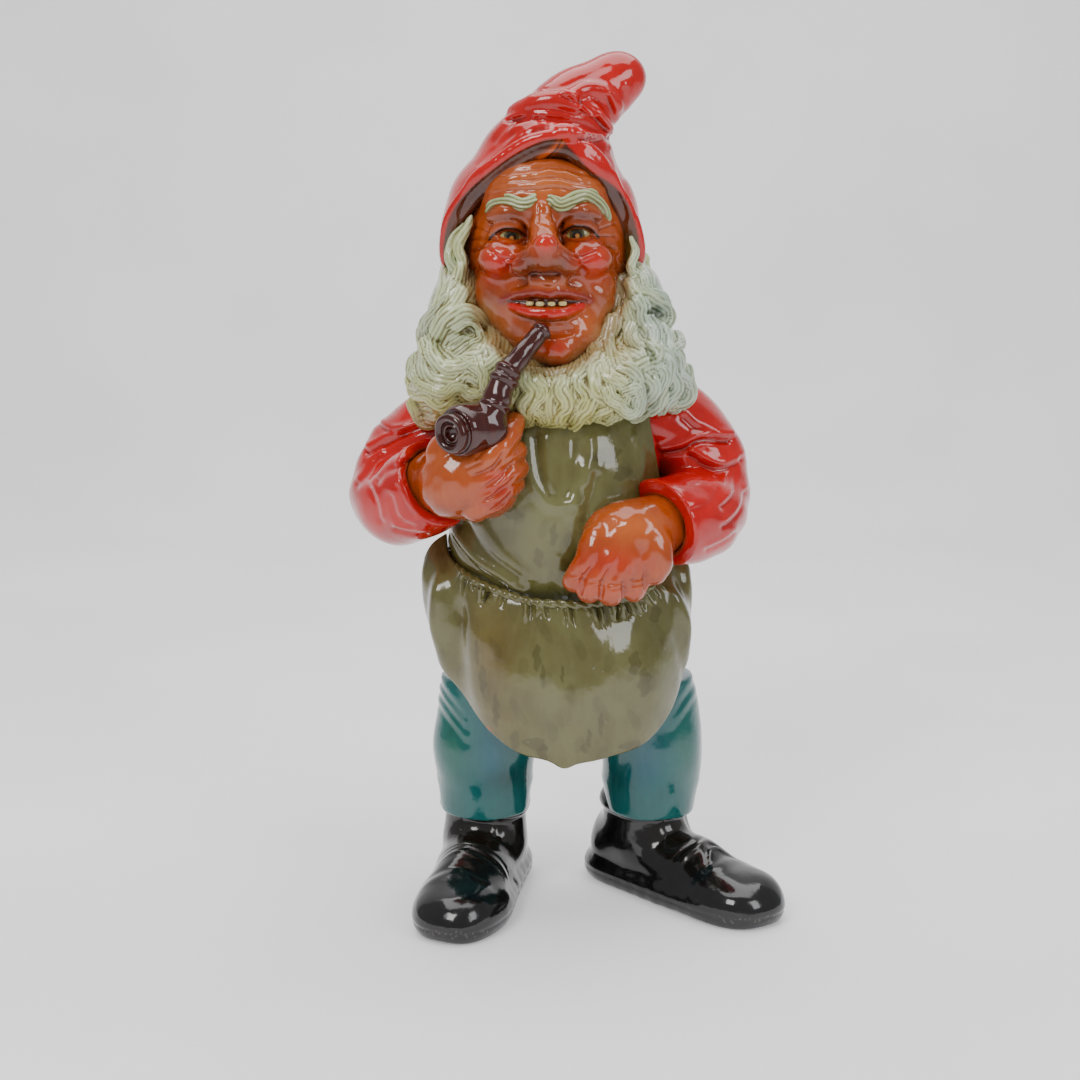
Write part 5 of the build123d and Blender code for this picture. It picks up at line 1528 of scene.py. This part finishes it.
def build_skirt():
    """The skirt of the apron: a sheet from the waist seam to the hem, gathered at the waist."""
    columns, rows, thick = 420, 150, 3.4
    top = smooth_line([(-85, 9, 270), (-81, -8, 256), (-61, -32, 241.5), (-28, -47, 232), (-5, -50, 230.5),
                       (16, -49, 230),
                       (48, -33, 233), (66, -10, 244), (73, 9, 256)], 20)
    hem = smooth_line([(-97, 12, 244), (-101, 10, 226), (-98, 5, 206), (-87, -9, 180), (-72, -24, 157),
                       (-54, -40, 139),
                       (-34, -51, 127), (-14, -57, 123), (-3, -59.5, 118.5), (7, -58.5, 121.5),
                       (24, -55, 124), (50, -43, 129),
                       (66, -31, 141), (77, -18, 158), (84, -6, 182), (88, 6, 212), (83, 12, 240)], 12)

    def along(line, share):
        gaps = np.r_[0, np.cumsum(np.linalg.norm(np.diff(line, axis=0), axis=1))]
        return np.stack([np.interp(share * gaps[-1], gaps, line[:, k]) for k in range(3)], 1)

    u = np.linspace(0, 1, columns)
    v = np.linspace(0, 1, rows)
    edge = along(hem, 0.5 + np.sign(u - 0.5) * 0.5 * np.abs(2 * u - 1) ** 0.92)
    waist = along(top, u)
    sheet = waist[:, None] * (1 - v)[None, :, None] + edge[:, None] * v[None, :, None]
    swell = np.sin(math.pi * np.clip(v, 0, 1)) ** 0.8
    away = np.stack([(u - 0.5) * 1.7, -np.cos((u - 0.5) * 2.6), 0 * u], 1)
    away /= np.linalg.norm(away, axis=1, keepdims=True)
    sheet += away[:, None] * (swell[None, :, None] * 9.0)
    across, down = u[:, None], v[None, :]

    def fold(centre, lean, width, high, start, end):
        line = centre + lean * down
        fading = 1 - 0.75 * rise(down, end - 0.2, end)
        return high * hump(across, line, width) * rise(down, start, start + 0.32) * fading

    wave = fold(0.115, 0.085, 0.036, 6.5, 0.05, 1.25) - fold(0.195, 0.085, 0.042, 4.0, 0.05, 1.2)
    wave += fold(0.880, -0.05, 0.028, 4.2, 0.02, 1.2) - fold(0.838, -0.04, 0.024, 2.2, 0.05, 1.1)
    wave -= fold(0.935, -0.03, 0.030, 2.6, 0.0, 1.1) - fold(0.27, 0.05, 0.05, 2.0, 0.0, 1.0)
    wave += fold(0.50, 0.02, 0.05, 1.6, 0.2, 1.2) + fold(0.66, 0.0, 0.07, 1.6, 0.1, 1.0)
    wave += fold(0.39, 0.01, 0.06, 1.4, 0.1, 1.0) - fold(0.775, -0.01, 0.03, 1.4, 0.0, 0.7)
    gathers = draw.uniform(0.14, 0.86, 46)
    for centre in np.sort(gathers):
        reach = draw.uniform(0.07, 0.17)
        width = draw.uniform(0.0035, 0.0075)
        high = draw.uniform(0.8, 2.2)
        lean = draw.uniform(-0.03, 0.05) + 0.30 * (0.35 - centre) * (centre < 0.35)
        line = centre + lean * down
        near_top = rise(down, 0.0, 0.02)
        wave += high * hump(across, line, width) * (1 - rise(down, reach * 0.45, reach)) * near_top
        beside = 0.8 * high * hump(across, line + 0.011, width)
        wave -= beside * (1 - rise(down, reach * 0.5, reach * 1.1)) * near_top
    wave += 0.5 * np.sin(across * 31 + down * 4) * np.sin(down * 9 + across * 6)
    wave *= 1 - 0.55 * rise(down, 0.55, 1.0)

    def outward(grid):
        gu = np.gradient(grid, axis=0)
        gv = np.gradient(grid, axis=1)
        normal = np.cross(gv, gu)
        normal /= np.linalg.norm(normal, axis=2, keepdims=True) + 1e-9
        return -normal if normal[columns // 2, rows // 2, 1] > 0 else normal

    sheet = sheet + outward(sheet) * wave[:, :, None]
    normal = outward(sheet)
    border = np.minimum(np.minimum(u, 1 - u)[:, None] * 260, np.minimum(v, 1 - v)[None, :] * 120)
    half = 0.5 * thick * np.sqrt(np.clip(1 - (1 - np.clip(border / 2.2, 0, 1)) ** 2, 0.02, 1))
    outer = sheet + normal * (half - 0.5 * thick)[:, :, None]
    innerside = sheet - normal * (half + 0.5 * thick)[:, :, None]
    places = np.concatenate([outer.reshape(-1, 3), innerside.reshape(-1, 3)])
    index = np.arange(columns * rows).reshape(columns, rows)
    a, b, c, d = index[:-1, :-1], index[1:, :-1], index[1:, 1:], index[:-1, 1:]
    front = np.stack([a, d, c, b], -1).reshape(-1, 4)
    back = np.stack([a, b, c, d], -1).reshape(-1, 4) + columns * rows
    rim = np.concatenate([index[:, 0], index[-1, 1:], index[-2::-1, -1], index[0, -2:0:-1]])
    following = np.roll(rim, -1)
    side = np.stack([rim, rim + columns * rows, following + columns * rows, following], 1)
    quads = np.concatenate([front, back, side])
    facing = np.cross(places[front[0, 2]] - places[front[0, 0]], places[front[0, 3]] - places[front[0, 1]])
    if facing @ normal[0, 0] < 0:
        quads = quads[:, ::-1]
    shell("skirt", places, quads, "apron_enamel", ("apron_skirt",), apron_paint, smoothing=0)


def build_waist():
    """The string round the waist, with the bow that ties it behind."""
    strands = 3
    sizes = {"Cord radius": 0.0029, "Strand depth": 0.13, "Turns per metre": 42, "Step": 0.0009}
    tree, given, result = geometry_tree("twisted string", sizes)
    path = node_of(tree, "GeometryNodeMeshToCurve", {"Mesh": given.outputs["Geometry"]})
    fine = node_of(tree, "GeometryNodeResampleCurve",
                   {"Curve": path.outputs[0], "Length": given.outputs["Step"]},
                   mode="LENGTH")
    walked = node_of(tree, "GeometryNodeSplineParameter")
    turn = node_of(tree, "ShaderNodeMath", {0: given.outputs["Turns per metre"], 1: 2 * math.pi},
                   operation="MULTIPLY")
    tilt = node_of(tree, "ShaderNodeMath", {0: walked.outputs["Length"], 1: turn.outputs[0]},
                   operation="MULTIPLY")
    twisted = node_of(tree, "GeometryNodeSetCurveTilt", {"Curve": fine.outputs[0], "Tilt": tilt.outputs[0]})
    rounds = 8 * strands
    circle = node_of(tree, "GeometryNodeCurvePrimitiveCircle", {
        "Resolution": rounds, "Radius": given.outputs["Cord radius"]}, mode="RADIUS")
    number = node_of(tree, "GeometryNodeInputIndex")
    angle = node_of(tree, "ShaderNodeMath", {0: number.outputs[0], 1: 2 * math.pi * strands / rounds},
                    operation="MULTIPLY")
    lobe = node_of(tree, "ShaderNodeMath", {0: angle.outputs[0]}, operation="COSINE")
    swell = node_of(tree, "ShaderNodeMath", {0: lobe.outputs[0], 1: given.outputs["Strand depth"], 2: 1.0},
                    operation="MULTIPLY_ADD")
    place = node_of(tree, "GeometryNodeInputPosition")
    lobed = node_of(tree, "ShaderNodeVectorMath", {0: place.outputs[0], "Scale": swell.outputs[0]},
                    operation="SCALE")
    profile = node_of(tree, "GeometryNodeSetPosition",
                      {"Geometry": circle.outputs[0], "Position": lobed.outputs[0]})
    cord = node_of(tree, "GeometryNodeCurveToMesh",
                   {"Curve": twisted.outputs[0], "Profile Curve": profile.outputs[0]})
    finish_tree(tree, result, cord.outputs[0], "apron_enamel")
    in_front = [(x, y - 1.5, z + 0.5) for x, y, z in SEAM]
    behind = [(74, 30, 244), (58, 60, 241), (30, 77, 239), (-5, 84, 238), (-42, 77, 240), (-70, 58, 244),
              (-86, 32, 251)]
    loop = smooth_line(behind[3:] + in_front + behind[:4], 8)[:-1]
    mesh = grow_on(loop, True, tree, sizes)
    finish_mesh("waist_string", mesh, "apron_enamel", ("apron_string",), apron_paint)
    clay = Clay(*room_for("apron_bow"), 0.8)
    clay.egg((-6, 86.5, 238), (7.5, 5.5, 6.5), 3)
    for side in (-1, 1):
        clay.rope([(-6 + side * 4, 86, 239), (-6 + side * 18, 87, 248), (-6 + side * 30, 85, 246),
                   (-6 + side * 31, 84, 238),
                   (-6 + side * 18, 86, 233), (-6 + side * 4, 86, 237)], [3.0, 4.4, 4.6, 4.4, 4.0, 3.0], 1.5)
        clay.rope([(-6 + side * 3, 86, 234), (-6 + side * 10, 87, 222), (-6 + side * 15, 86, 207)],
                  [3.0, 4.2, 4.6], 1.5)

    def bow_relief(p, out):
        return 0.3 * np.sin(p[:, 0] * 0.9) + 0.25 * np.sin(p[:, 2] * 1.1 + p[:, 0] * 0.5)

    solid("bow", clay, "apron_enamel", ("apron_bow",), apron_paint, relief=bow_relief)


# ---------------------------------------------------------------- trousers and shoes
RIGHT_ANKLE = np.array((-60.0, 33.0, 0.0))
LEFT_ANKLE = np.array((63.0, 33.0, 0.0))


def trouser_paint(p, out, groove):
    x, y, z = p.T
    colour = np.tile(tint(10, 92, 90), (len(p), 1))
    # Blue and green patches are paint; the dark teal patches on the inner sides of the legs near the bottom,
    # and at the top of the left leg under the apron, are painted shade.
    for centre, width, share, ink in (
        ((-46, -12, 150), (13, 30, 15), 0.85, tint(8, 62, 120)),
                                      ((-52, -16, 112), (10, 26, 22), 0.5, tint(14, 84, 112)),
        ((-82, 0, 116), (10, 30, 26), 0.45, tint(34, 98, 66)),
                                      ((56, -16, 106), (12, 26, 22), 0.55, tint(12, 82, 108)),
        ((-40, -8, 92), (12, 26, 11), 0.55, tint(2, 50, 48)),
                                      ((68, -12, 150), (12, 26, 10), 0.6, tint(4, 60, 70)),
        ((84, 4, 118), (9, 30, 26), 0.35, tint(32, 96, 66)),
                                      ((38, -6, 92), (9, 26, 14), 0.4, tint(2, 52, 54)),
    ):
        colour = blot(colour, p, centre, width, share, ink)
    # Painted shade in the grooves.
    deep = rise(groove, 0.1, 0.9)[:, None] * 0.4
    return over(colour, deep, tint(12, 64, 62))


def build_legs():
    for name, ankle, hip in (("right", RIGHT_ANKLE, (-47, 27)), ("left", LEFT_ANKLE, (47, 27))):
        side = -1 if name == "right" else 1
        clay = Clay(*room_for(name + "_leg"), 1.4)
        x, y = ankle[:2]
        clay.rope([(x, y - 4, 56), (x - side * 0.5, y - 5, 84), (x - side * 1, y - 6, 104),
                   (x - side * 3, y - 6, 132), (hip[0], hip[1], 168)],
                  [29.4, 31.5, 33.0, 34.5, 40], 6)
        clay.egg((x + side * 3, y - 8, 110), (31, 33, 34), 10)
        clay.slab((0, 0, 164), (0, 0, 1), 1)
        clay.slab((0, 0, 61.5), (0, 0, -1), 1)

        def relief(p, out, side=side, x0=x):
            x, y, z = p.T
            lift = 0.7 * np.sin(z * 0.11 + x * 0.08) * np.sin(x * 0.09 + y * 0.08)
            outer = x0 + side * 26
            for height, deep in ((150, 0.8), (141, 0.9),
                                 (131, 0.6)) if side < 0 else ((152, 0.35), (140, 0.35)):
                line = [(outer + side * 6, height + 9), (outer - side * 4, height),
                        (outer - side * 14, height - 10)]
                lift -= deep * crease(p, line, 2.6, front=40)
                lift += 0.8 * deep * crease(p, [(a, b + 4.5) for a, b in line], 3.2, front=40)
            lift += 1.3 * hump(z, 84 + 2 * np.sin(x * 0.1), 5) * rise(y, 10, 40)
            lift -= 0.9 * hump(z, 96 + 3 * np.sin(x * 0.12), 3) * rise(y, 20, 45)
            return lift

        solid(name + "_leg", clay, "trouser_enamel", (name + "_leg",), trouser_paint, relief=relief)
    clay = Clay(*room_for("trouser_seat"), 1.8)
    clay.egg((-4, 20, 190), (80, 58, 44), 6)
    clay.egg((-46, 26, 170), (40, 42, 30), 8)
    clay.egg((46, 26, 170), (38, 42, 30), 8)
    clay.slab((0, 0, 207.5), (0, 0, 1), 1)
    clay.slab((0, 0, 153.5), (0, 0, -1), 1)

    def relief(p, out):
        x, y, z = p.T
        seam = 1.6 * hump(x, -5, 2.2) * rise(y, 30, 50)
        return 0.9 * np.sin(x * 0.1 + z * 0.13) * rise(y, 0, 50) - seam

    solid("seat", clay, "trouser_enamel", ("trouser_seat",), trouser_paint, relief=relief)


def build_shoes():
    for name, ankle, out_angle, toe_chip, folds in (
        ("right", RIGHT_ANKLE, -12.0, 3, ((44, 0.004, 1.8, 2.0, 4, 17), (50, 0.004, 1.0, 2.0, -2, 14),
                                          (68, 0.010, 0.7, 4.0, 0, 24))),
        ("left", LEFT_ANKLE, 44.0, 10, ((46, -0.006, 1.6, 2.4, -8, 13), (55, 0.030, 1.7, 2.2, 6, 12),
                                        (66, -0.004, 0.9, 3.4, -2, 18))),
    ):
        turn = math.radians(out_angle)
        ahead = np.array((math.sin(turn), -math.cos(turn), 0.0))
        aside = np.array((math.cos(turn), math.sin(turn), 0.0))
        up = np.array((0, 0, 1.0))

        def spot(forward, across, high):
            return ankle + ahead * forward + aside * across + up * high

        clay = Clay(*room_for(name + "_shoe"), 1.2)
        turned = (0, 0, out_angle)
        clay.egg(spot(-22, 0, 26), (27, 30, 33), 6, turn=turned)
        clay.egg(spot(-2, 0, 30), (30, 34, 33), 8, turn=turned)
        clay.egg(spot(34, 0, 20), (30, 38, 28), 10, turn=turned)
        clay.egg(spot(72, 1, 15), (32.5, 40, 20.5), 10, turn=turned)
        clay.egg(spot(86, 1, 12), (28, 30, 15.5), 8, turn=turned)
        clay.bar(spot(-4, 0, 40), spot(-6, 0, 62), 31, 30, 6)
        rim = [spot(-4 + 30 * math.cos(t), 29.5 * math.sin(t),
                    65 + 2.0 * math.cos(t * 2 + 1.0) - 2.5 * math.cos(t))
               for t in np.linspace(0, 2 * math.pi, 25)]
        clay.rope(rim, [3.4], 3.5, rounds=2)
        clay.bar(spot(-4, 0, 60), spot(-4, 0, 84), 27.5, 28.5, 1.5, True)
        sole = [(-44, 8), (-28, 19), (4, 21), (44, 23), (76, 23), (98, 13), (103, 0), (98, -11), (76, -21),
                (44, -22),
                (4, -21), (-28, -19), (-44, -8), (-44, 8)]
        clay.rope([spot(forward, across, 9) for forward, across in sole], [9.5], 6, rounds=3)
        clay.slab((0, 0, 1.2), (0, 0, -1), 0.8)

        def relief(p, out):
            gap = p - ankle
            forward, across = gap @ ahead, gap @ aside
            lift = 0.9 * np.sin(forward * 0.13 + 0.8 * np.sin(across * 0.09)) * rise(p[:, 2], 14, 30)
            lift += 0.8 * np.sin(across * 0.14 + forward * 0.05) * rise(forward, 20, 60)
            lift -= 0.7 * hump(p[:, 2], 9.0, 1.1) * rise(-np.abs(out[:, 2]), -0.8, -0.4)
            upper = rise(p[:, 2], 14, 30)
            for start, bend, deep, width, middle, wide in folds:
                line = start + bend * (across - middle) ** 2 + 1.2 * np.sin(across * 0.16 + start)
                near = hump(across, middle, wide) * upper
                lift -= deep * hump(forward, line, width) * near
                lift += 0.9 * deep * hump(forward, line + 1.9 * width, width * 1.2) * near
            for beside in (-13, 13):
                lift -= 0.8 * hump(across, beside + 0.1 * forward, 3.0) * hump(forward, 20, 16) * upper
            return lift

        def paint(p, out, groove):
            gap = p - ankle
            forward, across, high = gap @ ahead, gap @ aside, p[:, 2]
            colour = np.tile(tint(16, 16, 17), (len(p), 1))
            # Painted sheen: a warm brown highlight over the instep.
            colour = blot(colour, p, spot(34, 4, 46), (34, 34, 16), 0.55, tint(36, 27, 15))
            colour = blot(colour, p, spot(96, -6, 20), (20, 20, 12), 0.40, tint(34, 34, 32))
            fleck = np.sin(p[:, 0] * 1.9
                           + 2 * np.sin(p[:, 2] * 1.1)) * np.sin(p[:, 2] * 2.3 + 1.5 * np.sin(p[:, 1] * 1.3))
            toe = hump(forward, 108, 8) * hump(across, toe_chip, 9) * hump(high, 16, 8)
            chip = (rise((0.45 + 0.55 * fleck) * toe, 0.40, 0.50))[:, None]
            colour = over(colour, chip, tint(58, 128, 168))
            scuff = rise(fleck * hump(high, 9, 5) * rise(forward, 70, 90), 0.62, 0.75)[:, None] * 0.6
            colour = over(colour, scuff, tint(112, 108, 100))
            # Pale grey dust in the grooves of the shoe.
            groove_tint = rise(groove, 0.25, 0.9)[:, None] * 0.35
            return over(colour, groove_tint, tint(70, 66, 58))

        solid(name + "_shoe", clay, "shoe_enamel", (name + "_shoe",), paint, relief=relief)


# ---------------------------------------------------------------- room
def build_room():
    """A pale seamless sweep, two large soft lights and a wide fill."""
    bend = [(1.4 + 0.9 * math.sin(t), 0.9 * (1 - math.cos(t))) for t in np.linspace(0.1, math.pi / 2, 14)]
    depth = [(-3.2, 0.0), (1.4, 0.0), *bend, (2.3, 4.5)]
    vertices = [(x, y, z) for x in (-4.5, 4.5) for y, z in depth]
    count = len(depth)
    faces = [(k, count + k, count + k + 1, k + 1) for k in range(count - 1)]
    mesh = bpy.data.meshes.new("floor")
    mesh.from_pydata(vertices, [], faces)
    mesh.polygons.foreach_set("use_smooth", np.ones(len(mesh.polygons), bool))
    floor = add("floor", mesh)
    material = bpy.data.materials.new("paper")
    material.use_nodes = True
    tree = material.node_tree
    shader = tree.nodes["Principled BSDF"]
    shader.inputs["Roughness"].default_value = 0.75
    mottled = band(tree, noise(tree, 3.0, 4.0, seed=0.4), 0.3, 0.75)
    paper = mixed(tree, mottled, tint(238, 237, 238), tint(231, 230, 232))
    tree.links.new(paper, shader.inputs["Base Color"])
    tree.links.new(paper, shader.inputs["Emission Color"])
    shader.inputs["Emission Strength"].default_value = 0.37
    mesh.materials.append(material)
    for name, place, aim, size, tall, power, colour in (
        ("key", (-0.9, -1.5, 1.7), (-0.02, 0.0, 0.32), 0.8, 0.8, 22.0, (1.0, 0.985, 0.97)),
        ("fill", (1.3, -1.2, 1.15), (0.0, 0.0, 0.30), 0.6, 1.0, 10.0, (0.97, 0.985, 1.0)),
        ("top", (0.0, 0.3, 2.3), (0.0, 0.15, 0.3), 2.4, 2.0, 48.0, (1.0, 1.0, 1.0)),
    ):
        light = bpy.data.lights.new(name, "AREA")
        light.shape = "RECTANGLE"
        light.size, light.size_y = size, tall
        light.energy = power
        light.color = colour
        lamp = add(name, light)
        lamp.location = place
        lamp.rotation_euler = (Vector(aim) - Vector(place)).to_track_quat("-Z", "Y").to_euler()
    world = bpy.data.worlds.new("room")
    world.use_nodes = True
    world.node_tree.nodes["Background"].inputs["Color"].default_value = (0.86, 0.86, 0.88, 1)
    world.node_tree.nodes["Background"].inputs["Strength"].default_value = 0.42
    bpy.context.scene.world = world
    lens = bpy.data.cameras.new("camera")
    lens.lens = 51.9
    lens.sensor_width = 36.0
    camera = add("camera", lens)
    camera.location = (-0.019, -1.073, 0.450)
    camera.rotation_euler = (math.radians(90 - 9.73), 0, 0)
    bpy.context.scene.camera = camera


build_head()
build_cap()
build_hair()
build_jacket()
build_sleeves()
build_right_hand()
build_left_hand()
build_pipe()
build_bib()
build_skirt()
build_waist()
build_legs()
build_shoes()
build_room()
